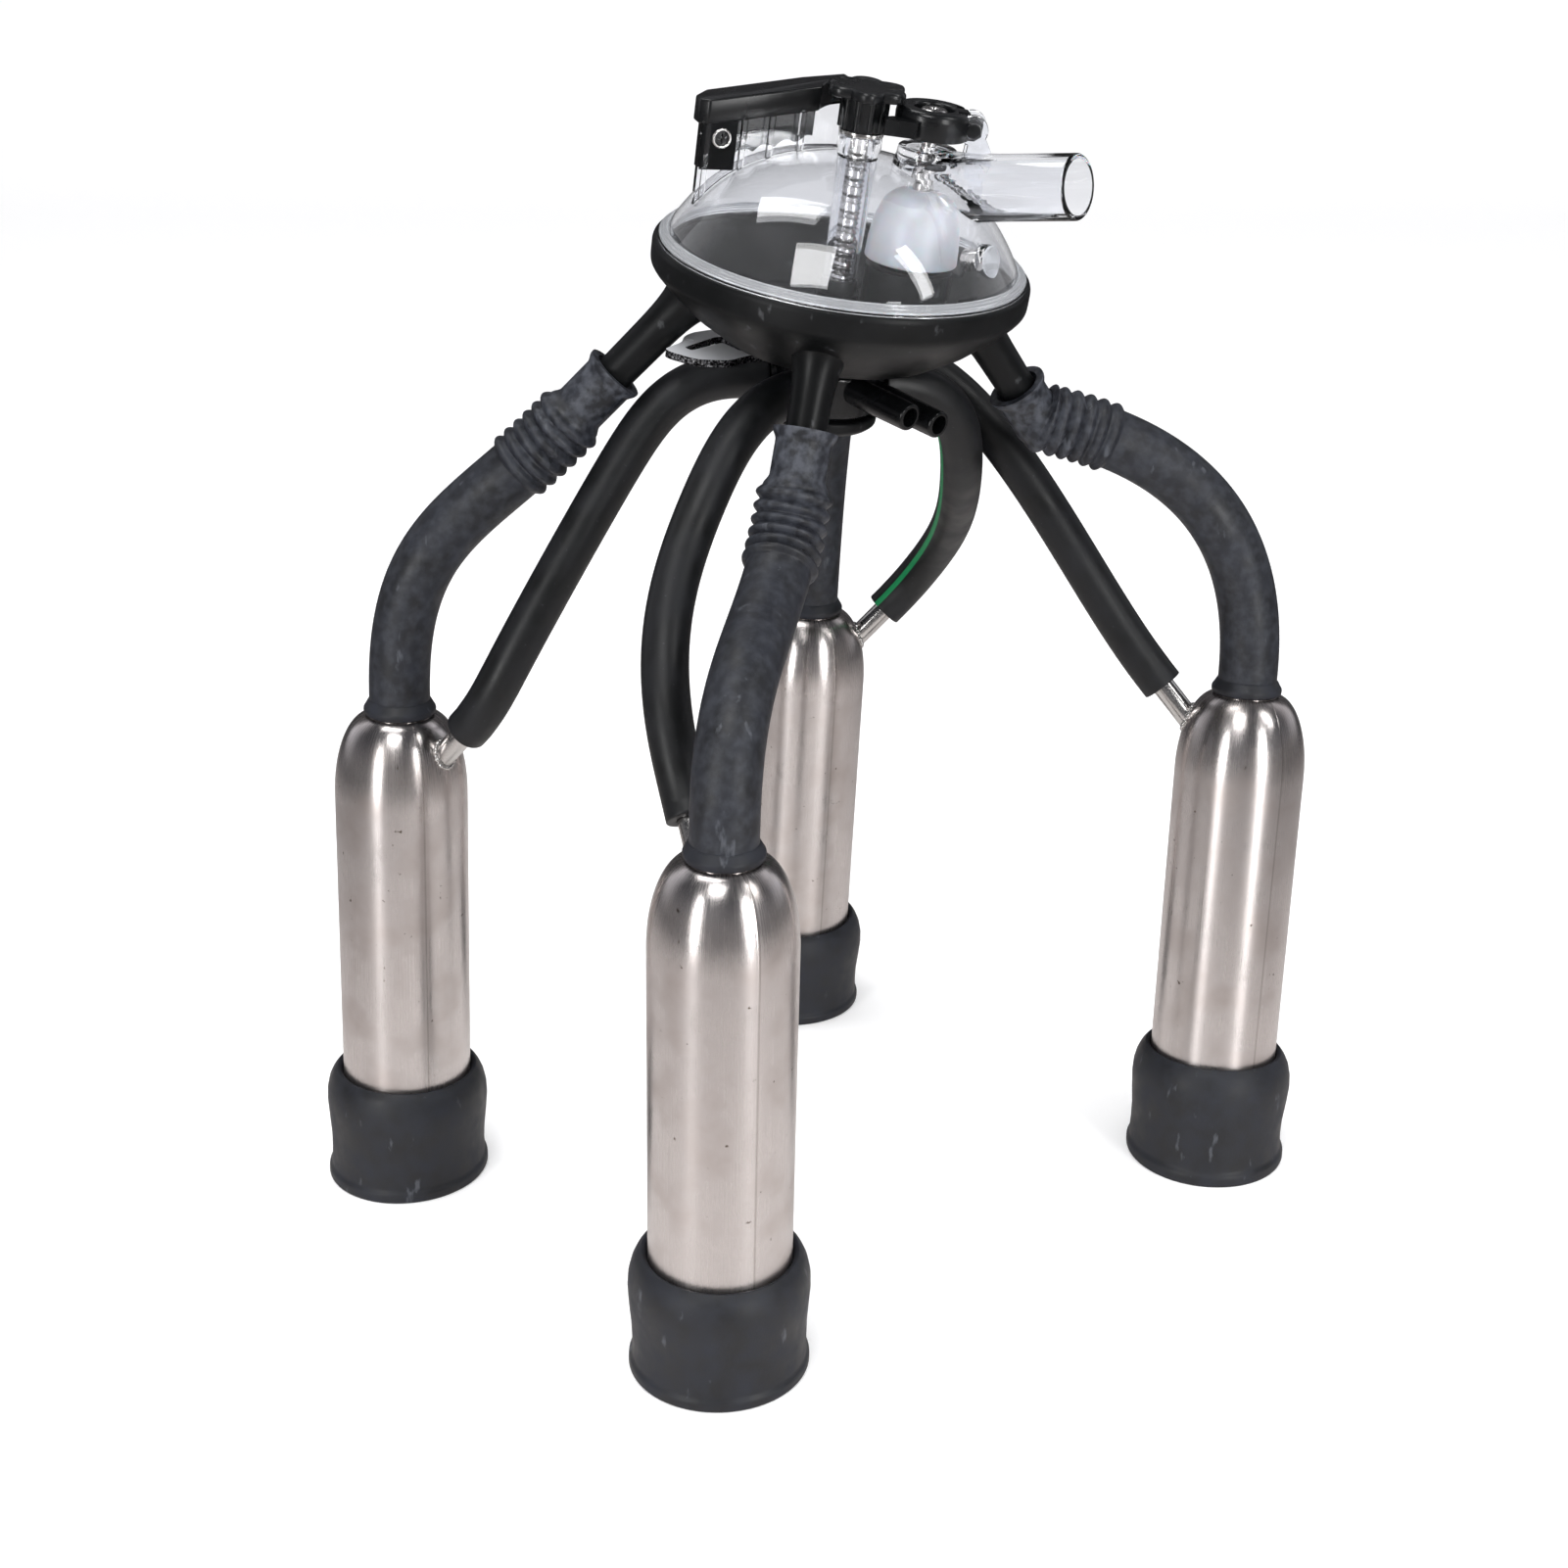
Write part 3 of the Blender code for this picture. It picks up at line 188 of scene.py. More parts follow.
# %% Room
FRONT_WALL = ((0.0, "#9a9694"), (0.5, "#8c8a8a"), (0.6, "#6c6c70"), (0.75, "#404146"))
BACK_WALL = ((0.5, "#a9a9ac"), (0.6, "#e4e4ea"), (0.82, "#f4f4fa"), (0.9, "#303136"))
ROOM_STRENGTH = 0.9
world = bpy.data.worlds.new("studio")
scene.world = world
world.use_nodes = True
room = world.node_tree
room.nodes.clear()
direction = add(room, "ShaderNodeTexCoord").outputs["Generated"]
split = add(room, "ShaderNodeSeparateXYZ", {0: direction})
up = add(room, "ShaderNodeMapRange", {"Value": split.outputs["Z"], "From Min": -1.0, "From Max": 1.0})
front = add(room, "ShaderNodeValToRGB", {0: up}, FRONT_WALL)
back = add(room, "ShaderNodeValToRGB", {0: up}, BACK_WALL)
behind = add(room, "ShaderNodeMapRange", {"Value": split.outputs["Y"], "From Min": 0.05, "From Max": 0.55})
walls = add(room, "ShaderNodeMix", {0: behind, 6: front, 7: back}, data_type="RGBA")
seen = add(room, "ShaderNodeBackground", {"Color": walls.outputs[2], "Strength": ROOM_STRENGTH})
fill = add(room, "ShaderNodeBackground", {"Color": "#ffffff", "Strength": ROOM_STRENGTH})
mirror = mirrored(room, add(room, "ShaderNodeLightPath").outputs)
pick = add(room, "ShaderNodeMixShader", {0: mirror, 1: fill, 2: seen})
add(room, "ShaderNodeOutputWorld", {"Surface": pick})
print("room nodes:", len(room.nodes))

# %% [markdown]
# The floor is a sheet of white paper that curves up at the back. It looks white to the camera.
# In reflections its colour is a painted pool of light round the cluster that falls off to grey.

# %% Floor
FLOOR_HALF = 3.0
FLOOR_SIDE = 5.0
SWEEP, SWEEP_STEPS, SWEEP_TOP = 1.2, 12, 4.0
# painted pool of light: the paper's colour in reflections, pale near the cluster and grey further off
PAINTED_LIGHT_POOL = ((0.0, "#d9d5d3"), (0.25, "#bdb8b6"), (0.6, "#8f8b8a"), (1.0, "#4c4b4d"))
PAPER_GLOW = 0.16  # lifts the paper to plain white, for the camera only
sweep_shape = bmesh.new()
path = [(-FLOOR_HALF, 0.0), (FLOOR_HALF, 0.0)]
path += [
    (FLOOR_HALF + SWEEP * math.sin(a), SWEEP - SWEEP * math.cos(a))
    for a in (math.pi / 2 * i / SWEEP_STEPS for i in range(1, SWEEP_STEPS + 1))
]
path.append((FLOOR_HALF + SWEEP, SWEEP_TOP))
rails = [[sweep_shape.verts.new((side * FLOOR_SIDE, y, z)) for y, z in path] for side in (-1, 1)]
for i in range(len(path) - 1):
    sweep_shape.faces.new((rails[0][i], rails[1][i], rails[1][i + 1], rails[0][i + 1]))
floor_mesh = bpy.data.meshes.new("floor")
for face in sweep_shape.faces:
    face.smooth = True
sweep_shape.to_mesh(floor_mesh)
floor = bpy.data.objects.new("floor", floor_mesh)
scene.collection.objects.link(floor)
paper = bpy.data.materials.new("white_paper_sweep")
paper.use_nodes = True
paper_shader = paper.node_tree.nodes["Principled BSDF"]
paper_shader.inputs["Roughness"].default_value = 0.9
paper_shader.inputs["Specular IOR Level"].default_value = 0.1
sheet = paper.node_tree
spot = add(sheet, "ShaderNodeTexCoord").outputs["Object"]
reach = add(sheet, "ShaderNodeVectorMath", {0: spot}, operation="LENGTH").outputs["Value"]
far = add(sheet, "ShaderNodeMapRange", {"Value": reach, "From Min": 0.1, "From Max": 0.9})
# painted pool of light, pale near the middle and greyer with distance
painted_pool = add(sheet, "ShaderNodeValToRGB", {0: far}, PAINTED_LIGHT_POOL)
ray = add(sheet, "ShaderNodeLightPath").outputs
tone = add(sheet, "ShaderNodeMix", {0: mirrored(sheet, ray), 6: "#f7f7f8", 7: painted_pool}, data_type="RGBA")
sheet.links.new(tone.outputs[2], paper_shader.inputs["Base Color"])
glow = add(sheet, "ShaderNodeMath", {0: ray["Is Camera Ray"], 1: PAPER_GLOW}, operation="MULTIPLY")
sheet.links.new(glow.outputs[0], paper_shader.inputs["Emission Strength"])
paper_shader.inputs["Emission Color"].default_value = linear("#ffffff")
floor_mesh.materials.append(paper)
print("floor faces:", len(floor_mesh.polygons))

# %% [markdown]
# ## Tools for turned and skinned shapes
# Most pieces of the claw were turned or moulded round an axis. A turned piece is a short outline
# of radius and height, whose corners are rounded and which is then swept round. Rounding the
# outline gives every edge the thin highlight that a moulded edge has, with no bevel afterwards.
# Each skin also gets a UV map: U is the share of a turn, and V is the distance along in metres.


# %% Skins
def skin(name, loops, place=WORLD, ring=False, caps=False, sharp=32.0):
    """A mesh through loops of points in millimetres. Ring joins the last loop to the first."""
    shape = bmesh.new()
    uv = shape.loops.layers.uv.new("surface")
    rows = [[shape.verts.new((place @ Vector(p)) * MM) for p in loop] for loop in loops]
    count = len(loops[0])
    pairs = [(k, k + 1) for k in range(len(rows) - 1)]
    if ring:
        pairs.append((len(rows) - 1, 0))
    run = 0.0
    for a, b in pairs:
        step = (Vector(loops[b][0]) - Vector(loops[a][0])).length
        for i in range(count):
            j = (i + 1) % count
            face = shape.faces.new((rows[a][i], rows[a][j], rows[b][j], rows[b][i]))
            corners = ((i, run), (i + 1, run), (i + 1, run + step), (i, run + step))
            for corner, (u, v) in zip(face.loops, corners):
                corner[uv].uv = (u / count, v * MM)
        run += step
    if caps:
        shape.faces.new(rows[0])
        shape.faces.new(rows[-1])
    bmesh.ops.remove_doubles(shape, verts=shape.verts, dist=1e-7)
    bmesh.ops.recalc_face_normals(shape, faces=shape.faces)
    mesh = bpy.data.meshes.new(name)
    shape.to_mesh(mesh)
    shape.free()
    return shown(name, mesh, sharp)


def shown(name, mesh, sharp=32.0):
    """An object for a mesh, shaded smooth except at edges sharper than the angle."""
    mesh.name = name
    mesh.polygons.foreach_set("use_smooth", [True] * len(mesh.polygons))
    mesh.set_sharp_from_angle(angle=math.radians(sharp))
    obj = bpy.data.objects.new(name, mesh)
    scene.collection.objects.link(obj)
    return obj


# %% [markdown]
# A skin can follow any loops. Turned pieces, bars and slabs are skins whose loops come from a
# short outline, so each piece is only a list of sizes. Small arcs round an outline's corners.


# %% Turned pieces, bars and slabs
def softened(outline, size=0.6, ring=False, steps=3):
    """Rounds the corners of an outline of (radius, height) with small arcs."""
    points = [Vector(p) for p in outline]
    last = len(points) - 1
    result = []
    for i, corner in enumerate(points):
        if not ring and i in (0, last):
            result.append(corner)
            continue
        before = points[i - 1] - corner
        after = points[(i + 1) % (last + 1)] - corner
        if before.angle(after, math.pi) > math.radians(168):
            result.append(corner)
            continue
        reach = min(size, before.length * 0.42, after.length * 0.42)
        start = corner + before.normalized() * reach
        end = corner + after.normalized() * reach
        for k in range(steps + 1):
            t = k / steps
            result.append(start * (1 - t) ** 2 + corner * 2 * t * (1 - t) + end * t * t)
    return [(max(p.x, 0.0), p.y) for p in result]


def circle(middle, u, v, radius, steps):
    turns = [2 * math.pi * i / steps for i in range(steps)]
    return [middle + u * radius * math.cos(a) + v * radius * math.sin(a) for a in turns]


def turned(name, outline, place=CLAW, steps=96, centre=(0.0, 0.0), ring=False, size=0.6, sharp=32.0):
    """Turns an outline of (radius, height) about a line that is parallel to Z."""
    u, v = Vector((1, 0, 0)), Vector((0, 1, 0))
    loops = [
        circle(Vector((*centre, z)), u, v, r, steps) for r, z in softened(outline, size, ring)
    ]
    return skin(name, loops, place, ring=ring, sharp=sharp)


def across(axis):
    """Two directions square to an axis, the first of them level."""
    side = Vector((0, 0, 1)).cross(axis)
    if side.length < 1e-3:
        side = Vector((1, 0, 0))
    side.normalize()
    return side, axis.cross(side).normalized()


def bar(name, start, end, outline, place=CLAW, steps=48, ring=False, size=0.5):
    """A round bar or tube from start to end. Its outline is (radius, distance from the start)."""
    start, end = Vector(start), Vector(end)
    way = (end - start).normalized()
    u, v = across(way)
    loops = [circle(start + way * d, u, v, r, steps) for r, d in softened(outline, size, ring)]
    return skin(name, loops, place, ring=ring)


def band(inner, outer, foot, top):
    """The outline of a plain sleeve, or of a solid bar where inner is 0."""
    return [(inner, foot), (outer, foot), (outer, top), (inner, top)]


def plug(name, start, end, radius, place=CLAW, steps=48):
    """A plain closed bar, used to add to another piece or to cut it."""
    length = (Vector(end) - Vector(start)).length
    return bar(name, start, end, band(0.0, radius, 0.0, length), place, steps, size=0.0)


def slab(name, outline, low, high, place=CLAW, sharp=32.0):
    """Stands an outline of (x, y) up from low to high, which may be functions of (x, y)."""
    base = low if callable(low) else lambda x, y: low
    roof = high if callable(high) else lambda x, y: high
    loops = [[(x, y, level(x, y)) for x, y in outline] for level in (base, roof)]
    return skin(name, loops, place, caps=True, sharp=sharp)


# %% [markdown]
# Pieces are joined and drilled with Boolean modifiers, much as a workshop welds and drills them.
# The result is kept as a plain mesh, and the shapes that cut it are thrown away.


# %% Bake and combine
def baked(obj, name=None, sharp=32.0):
    """The object with its modifiers worked out, as a plain mesh in its place."""
    graph = bpy.context.evaluated_depsgraph_get()
    mesh = bpy.data.meshes.new_from_object(obj.evaluated_get(graph))
    name = name or obj.name
    bpy.data.objects.remove(obj, do_unlink=True)
    return shown(name, mesh, sharp)


def combine(obj, tools, operation):
    """Adds the tools to a piece, or cuts them from it, and removes them."""
    for tool in tools:
        step = obj.modifiers.new(tool.name, "BOOLEAN")
        step.operation = operation
        step.solver = "MANIFOLD"
        step.object = tool
    done = baked(obj)
    for tool in tools:
        bpy.data.objects.remove(tool, do_unlink=True)
    return done


def polar(radius, azimuth, z=0.0):
    a = math.radians(azimuth)
    return Vector((radius * math.cos(a), radius * math.sin(a), z))


# %% [markdown]
# ## Finishes
# Each finish starts from the real material. A helper makes the Principled shader, and each
# function below adds what that surface shows: polishing lines, bloom, scuffs, grain or dust.


# %% Finish helpers
def finish(name, colour, roughness, metallic=0.0, **extra):
    """A new material, its node tree and its shader. Colour is sRGB hex."""
    mat = bpy.data.materials.new(name)
    mat.use_nodes = True
    tree = mat.node_tree
    shader = tree.nodes["Principled BSDF"]
    shader.inputs["Base Color"].default_value = linear(colour)
    shader.inputs["Roughness"].default_value = roughness
    shader.inputs["Metallic"].default_value = metallic
    for key, value in extra.items():
        shader.inputs[key.replace("_", " ")].default_value = value
    return mat, tree, shader


def cloud(tree, grain, detail=4.0, stretch=(1.0, 1.0, 1.0), source="Object", seed=0.0):
    """Noise whose blotches are about grain millimetres across, from 0 to 1."""
    where = add(tree, "ShaderNodeTexCoord").outputs[source]
    scaled = add(tree, "ShaderNodeMapping", {"Vector": where, "Scale": stretch, "Location": (seed, 0, 0)})
    return add(
        tree,
        "ShaderNodeTexNoise",
        {"Vector": scaled, "Scale": 1.0 / (grain * MM), "Detail": detail},
    ).outputs["Fac"]


def relief(tree, shader, fields):
    """Bumps from (field, depth in millimetres) pairs, one on another."""
    normal = None
    for field, depth in fields:
        inputs = {"Height": field, "Distance": depth * MM, "Strength": 1.0}
        if normal:
            inputs["Normal"] = normal
        normal = add(tree, "ShaderNodeBump", inputs).outputs[0]
    tree.links.new(normal, shader.inputs["Normal"])


# %% [markdown]
# ### Spun stainless steel
# The shells are pressed from sheet and polished as they spin, so the fine lines run round them
# and each highlight stretches into a streak along the shell. The body is satin, and the shoulder
# is brighter. Fingermarks change the roughness in blotches, and a weld seam runs down one side.
# The map's U is a share of the 141 mm round, so the seam's places are given as such shares.


# %% Stainless shell
def spun_stainless():
    """The shells' steel. Its highlights are drawn out across the polishing lines."""
    mat, tree, shader = finish("spun_stainless", "#d2ccca", 0.3, 1.0, Anisotropic=0.72)
    along = add(tree, "ShaderNodeTangent", direction_type="UV_MAP", uv_map="surface").outputs[0]
    turn = add(tree, "ShaderNodeVectorRotate", {"Vector": along, "Angle": math.pi / 2})
    turn.rotation_type = "AXIS_ANGLE"
    tree.links.new(add(tree, "ShaderNodeNewGeometry").outputs["Normal"], turn.inputs["Axis"])
    tree.links.new(turn.outputs[0], shader.inputs["Tangent"])
    lines = cloud(tree, 100.0, 3.0, (140.0, 0.9, 1.0), "UV")
    smudge = cloud(tree, 16.0, 5.0)
    wear = cloud(tree, 3.0, 8.0, seed=3.0)
    place = add(tree, "ShaderNodeSeparateXYZ", {0: add(tree, "ShaderNodeTexCoord").outputs["UV"]})
    shoulder = add(tree, "ShaderNodeMapRange", {0: place.outputs["Y"], 1: 0.115, 2: 0.135}).outputs[0]
    satin = add(tree, "ShaderNodeMapRange", {0: smudge, 1: 0.35, 2: 0.7, 3: 0.27, 4: 0.36}).outputs[0]
    bright = add(tree, "ShaderNodeMapRange", {0: smudge, 1: 0.35, 2: 0.7, 3: 0.21, 4: 0.29}).outputs[0]
    base = add(tree, "ShaderNodeMix", {0: shoulder, 2: satin, 3: bright}).outputs[0]
    streaks = add(tree, "ShaderNodeMapRange", {0: lines, 1: 0.3, 2: 0.7, 3: -0.05, 4: 0.05}).outputs[0]
    rough = add(tree, "ShaderNodeMath", {0: base, 1: streaks}, operation="ADD", use_clamp=True)
    tree.links.new(rough.outputs[0], shader.inputs["Roughness"])
    stain = add(tree, "ShaderNodeMapRange", {0: smudge, 1: 0.48, 2: 0.75}).outputs[0]
    tint = add(tree, "ShaderNodeMix", {0: stain, 6: "#d4cecc", 7: "#c7beba"}, data_type="RGBA").outputs[2]
    specks = add(tree, "ShaderNodeMapRange", {0: wear, 1: 0.70, 2: 0.74}).outputs[0]
    tint = add(tree, "ShaderNodeMix", {0: specks, 6: tint, 7: "#6d6258"}, data_type="RGBA").outputs[2]
    seam_way = add(tree, "ShaderNodeMath", {0: place.outputs["X"], 1: 0.83}, operation="SUBTRACT")
    seam = add(tree, "ShaderNodeMath", {0: seam_way}, operation="ABSOLUTE").outputs[0]
    seam_line = add(tree, "ShaderNodeMapRange", {0: seam, 1: 0.0035, 2: 0.0015}).outputs[0]
    seam_tint = add(tree, "ShaderNodeMath", {0: seam_line, 1: 0.35}, operation="MULTIPLY")
    tint = add(tree, "ShaderNodeMix", {0: seam_tint, 6: tint, 7: "#7c726b"}, data_type="RGBA").outputs[2]
    tree.links.new(tint, shader.inputs["Base Color"])
    relief(tree, shader, ((lines, 0.006), (wear, 0.006), (seam_line, 0.03)))
    return mat


def turned_stainless():
    """Turned fittings: brighter than the shells, with fine rings that round off the glints."""
    mat, tree, shader = finish("turned_stainless", "#c8c6c4", 0.2, 1.0)
    grain = cloud(tree, 0.5, 3.0)
    gloss = add(tree, "ShaderNodeMapRange", {0: grain, 1: 0.3, 2: 0.7, 3: 0.12, 4: 0.3})
    tree.links.new(gloss.outputs[0], shader.inputs["Roughness"])
    relief(tree, shader, ((grain, 0.006),))
    return mat


def polished_plate_painted_reflection():
    """Polished flat steel, painted near white and only a little metallic, so that its colour
    stands in for a bright reflection. Faint waves keep its mirror from looking perfect.
    """
    # painted reflection: a near-white base with metallic at 0.2 gives the plate its brightness
    mat, tree, shader = finish("polished_plate_painted_reflection", "#f2f4f9", 0.2, 0.2)
    waves = cloud(tree, 14.0, 2.0)
    gloss = add(tree, "ShaderNodeMapRange", {0: waves, 1: 0.3, 2: 0.7, 3: 0.14, 4: 0.28})
    tree.links.new(gloss.outputs[0], shader.inputs["Roughness"])
    relief(tree, shader, ((waves, 0.03),))
    return mat


def sheared_edge_painted_shade():
    """The plate's cut edge: torn steel painted dark as shade, near black in its pits as more
    painted shade, and pale grey on its raised grain.
    """
    mat, tree, shader = finish("sheared_edge_painted_shade", "#2a2a2c", 0.5, 1.0)
    pits = cloud(tree, 0.7, 4.0)
    # painted shade: near black in the pits, pale grey on the raised grain
    stops = ((0.42, "#0c0c0d"), (0.55, "#5d5d60"), (0.7, "#b9b9bc"))
    tint = add(tree, "ShaderNodeValToRGB", {0: pits}, stops).outputs[0]
    tree.links.new(tint, shader.inputs["Base Color"])
    relief(tree, shader, ((pits, 0.15),))
    return mat


# %% [markdown]
# ### Rubber
# The liners are blue-black nitrile rubber. Handling leaves pale scuffs, and a chalky bloom comes
# up where the rubber is stretched over a nozzle and on the bellows. The hose nodes store how
# much bloom each point has, so the colour follows the part and not the room. The pulse tubes are
# a softer, blacker rubber with a faint extruded sheen.


# %% Rubber finishes
def nitrile_rubber(name, colour, pale, bloomy, roughness=0.52):
    """Blue-black rubber with scuffs. Bloomy adds the chalky grey that an attribute places."""
    mat, tree, shader = finish(name, colour, roughness, Specular_IOR_Level=0.45)
    mottle = cloud(tree, 9.0, 6.0)
    fine = cloud(tree, 0.6, 3.0)
    scratch = cloud(tree, 5.0, 9.0, (1.0, 1.0, 0.35), seed=5.0)
    share = add(tree, "ShaderNodeMapRange", {0: mottle, 1: 0.35, 2: 0.7})
    tint = add(tree, "ShaderNodeMix", {0: share, 6: colour, 7: pale}, data_type="RGBA").outputs[2]
    worn = add(tree, "ShaderNodeMapRange", {0: scratch, 1: 0.655, 2: 0.72, 3: 0.0, 4: 0.55}).outputs[0]
    tint = add(tree, "ShaderNodeMix", {0: worn, 6: tint, 7: "#55585f"}, data_type="RGBA").outputs[2]
    if bloomy:
        bloom = add(tree, "ShaderNodeAttribute", attribute_name="bloom").outputs["Fac"]
        chalk = cloud(tree, 3.2, 6.0, seed=9.0)
        patch = add(tree, "ShaderNodeMapRange", {0: chalk, 1: 0.40, 2: 0.66}).outputs[0]
        share = add(tree, "ShaderNodeMath", {0: bloom, 1: patch}, operation="MULTIPLY")
        tint = add(tree, "ShaderNodeMix", {0: share, 6: tint, 7: "#43464e"}, data_type="RGBA").outputs[2]
    tree.links.new(tint, shader.inputs["Base Color"])
    low, high = roughness - 0.1, roughness + 0.12
    gloss = add(tree, "ShaderNodeMapRange", {0: mottle, 1: 0.3, 2: 0.7, 3: low, 4: high})
    tree.links.new(gloss.outputs[0], shader.inputs["Roughness"])
    relief(tree, shader, ((fine, 0.02), (mottle, 0.12), (scratch, 0.05)))
    return mat


def extruded_rubber(name, stripe=False):
    """Black pulse-tube rubber, with faint lines along it. One tube carries a green stripe."""
    mat, tree, shader = finish(name, "#0e0f11", 0.46, Specular_IOR_Level=0.4)
    dust = cloud(tree, 1.4, 6.0)
    blotch = cloud(tree, 12.0, 4.0)
    share = add(tree, "ShaderNodeMapRange", {0: blotch, 1: 0.35, 2: 0.7})
    tint = add(tree, "ShaderNodeMix", {0: share, 6: "#0c0d0e", 7: "#15161a"}, data_type="RGBA").outputs[2]
    share = add(tree, "ShaderNodeMapRange", {0: dust, 1: 0.68, 2: 0.76, 3: 0.0, 4: 0.5})
    tint = add(tree, "ShaderNodeMix", {0: share, 6: tint, 7: "#3c3e43"}, data_type="RGBA").outputs[2]
    if stripe:
        off = add(tree, "ShaderNodeAttribute", attribute_name="round").outputs["Fac"]
        share = add(tree, "ShaderNodeMapRange", {0: off, 1: 0.052, 2: 0.044})
        tint = add(tree, "ShaderNodeMix", {0: share, 6: tint, 7: "#0f7a48"}, data_type="RGBA").outputs[2]
    tree.links.new(tint, shader.inputs["Base Color"])
    gloss = add(tree, "ShaderNodeMapRange", {0: blotch, 1: 0.3, 2: 0.7, 3: 0.38, 4: 0.56})
    tree.links.new(gloss.outputs[0], shader.inputs["Roughness"])
    relief(tree, shader, ((dust, 0.02), (blotch, 0.1)))
    return mat


# %% [markdown]
# ### Moulded plastics
# The bowl is satin black nylon with a fine grain and rub marks. The knob, lever and distributor
# come from polished moulds, so they are glossier. The dome is polycarbonate: clear and faintly
# blue. Its IOR is set to 1.53, a little under the usual 1.585, to keep thick rims from looking
# dark. The valve bell is milky silicone, through which light spreads.


# %% Plastic finishes
DOME_IOR = 1.53


def black_nylon(name, roughness, grain_depth, rubs, specular):
    """Black moulded nylon. The mould sets its roughness and grain, and use adds pale rubs."""
    mat, tree, shader = finish(name, "#0b0b0c", roughness, Specular_IOR_Level=specular)
    grain = cloud(tree, 0.45, 2.0)
    rub = cloud(tree, 4.0, 9.0, (1.0, 1.0, 0.6), seed=2.0)
    haze = cloud(tree, 22.0, 3.0)
    share = add(tree, "ShaderNodeMapRange", {0: haze, 1: 0.35, 2: 0.7})
    tint = add(tree, "ShaderNodeMix", {0: share, 6: "#08090a", 7: "#101113"}, data_type="RGBA").outputs[2]
    share = add(tree, "ShaderNodeMapRange", {0: rub, 1: 0.66, 2: 0.74, 3: 0.0, 4: rubs})
    tint = add(tree, "ShaderNodeMix", {0: share, 6: tint, 7: "#4c4d50"}, data_type="RGBA").outputs[2]
    tree.links.new(tint, shader.inputs["Base Color"])
    low, high = roughness - 0.07, roughness + 0.1
    gloss = add(tree, "ShaderNodeMapRange", {0: haze, 1: 0.3, 2: 0.7, 3: low, 4: high})
    tree.links.new(gloss.outputs[0], shader.inputs["Roughness"])
    relief(tree, shader, ((grain, grain_depth), (rub, 0.03)))
    return mat


def clear_polycarbonate():
    """Clear moulded plastic, with a faint haze in its gloss and slow ripples in its surface."""
    optics = {"IOR": DOME_IOR, "Transmission_Weight": 1.0}
    mat, tree, shader = finish("clear_polycarbonate", "#fafbfe", 0.03, **optics)
    haze = cloud(tree, 10.0, 5.0)
    gloss = add(tree, "ShaderNodeMapRange", {0: haze, 1: 0.45, 2: 0.8, 3: 0.015, 4: 0.09})
    tree.links.new(gloss.outputs[0], shader.inputs["Roughness"])
    ripple = cloud(tree, 24.0, 2.0)
    relief(tree, shader, ((ripple, 0.05),))
    return mat


def frosted_polycarbonate():
    """The same plastic where the mould was left rough: the flange's steps and the side plug."""
    optics = {"IOR": DOME_IOR, "Transmission_Weight": 0.72}
    mat, tree, shader = finish("frosted_polycarbonate", "#e2e5ea", 0.2, **optics)
    haze = cloud(tree, 1.5, 4.0)
    gloss = add(tree, "ShaderNodeMapRange", {0: haze, 1: 0.3, 2: 0.7, 3: 0.12, 4: 0.26})
    tree.links.new(gloss.outputs[0], shader.inputs["Roughness"])
    relief(tree, shader, ((haze, 0.01),))
    return mat


def milky_silicone():
    """White silicone: light spreads a few millimetres inside it, and its sheen is soft."""
    mat, tree, shader = finish(
        "milky_silicone",
        "#a5a7ac",
        0.34,
        Subsurface_Weight=0.6,
        Subsurface_Scale=0.004,
        Sheen_Weight=0.1,
    )
    cloudy = cloud(tree, 8.0, 3.0)
    share = add(tree, "ShaderNodeMapRange", {0: cloudy, 1: 0.3, 2: 0.7})
    tint = add(tree, "ShaderNodeMix", {0: share, 6: "#a8abb1", 7: "#9ea0a5"}, data_type="RGBA").outputs[2]
    tree.links.new(tint, shader.inputs["Base Color"])
    relief(tree, shader, ((cloudy, 0.05),))
    return mat


def turned_brass():
    """Turned brass for the screw's insert, which shows only as a glint under the column."""
    mat, tree, shader = finish("turned_brass", "#c79a4b", 0.25, 1.0)
    grain = cloud(tree, 0.5, 3.0)
    gloss = add(tree, "ShaderNodeMapRange", {0: grain, 1: 0.3, 2: 0.7, 3: 0.18, 4: 0.35})
    tree.links.new(gloss.outputs[0], shader.inputs["Roughness"])
    return mat


SHELL_STEEL = spun_stainless()
FITTING_STEEL = turned_stainless()
PLATE_PAINTED_REFLECTION = polished_plate_painted_reflection()
PLATE_EDGE_PAINTED_SHADE = sheared_edge_painted_shade()
LINER = nitrile_rubber("liner_nitrile", "#15161a", "#1e212a", True)
SEAL = nitrile_rubber("seal_nitrile", "#121314", "#1c1d1f", False)
TUBE = extruded_rubber("pulse_tube_rubber")
STRIPED_TUBE = extruded_rubber("striped_tube_rubber", stripe=True)
BOWL_BLACK = black_nylon("satin_black_nylon", 0.42, 0.015, 0.5, 0.22)
GLOSS_BLACK = black_nylon("gloss_black_nylon", 0.24, 0.006, 0.12, 0.42)
MATT_BLACK = black_nylon("matt_black_nylon", 0.6, 0.006, 0.05, 0.1)
CLEAR = clear_polycarbonate()
FROSTED = frosted_polycarbonate()
SILICONE = milky_silicone()
BRASS = turned_brass()
print("materials so far:", len(bpy.data.materials))

# %% [markdown]
# A finished piece takes its place in the model: it gets its materials, stands for one or more
# CAD nodes and rides on one body.


# %% Keep a finished piece
def keep(obj, body, nodes, slot, *mats):
    """Paints a finished piece, hides the CAD nodes that it stands for, and puts it on its body."""
    if mats:
        obj.data.materials.clear()
        for mat in mats:
            obj.data.materials.append(mat)
    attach(obj, body)
    if nodes:
        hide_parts(*nodes)
    return obj


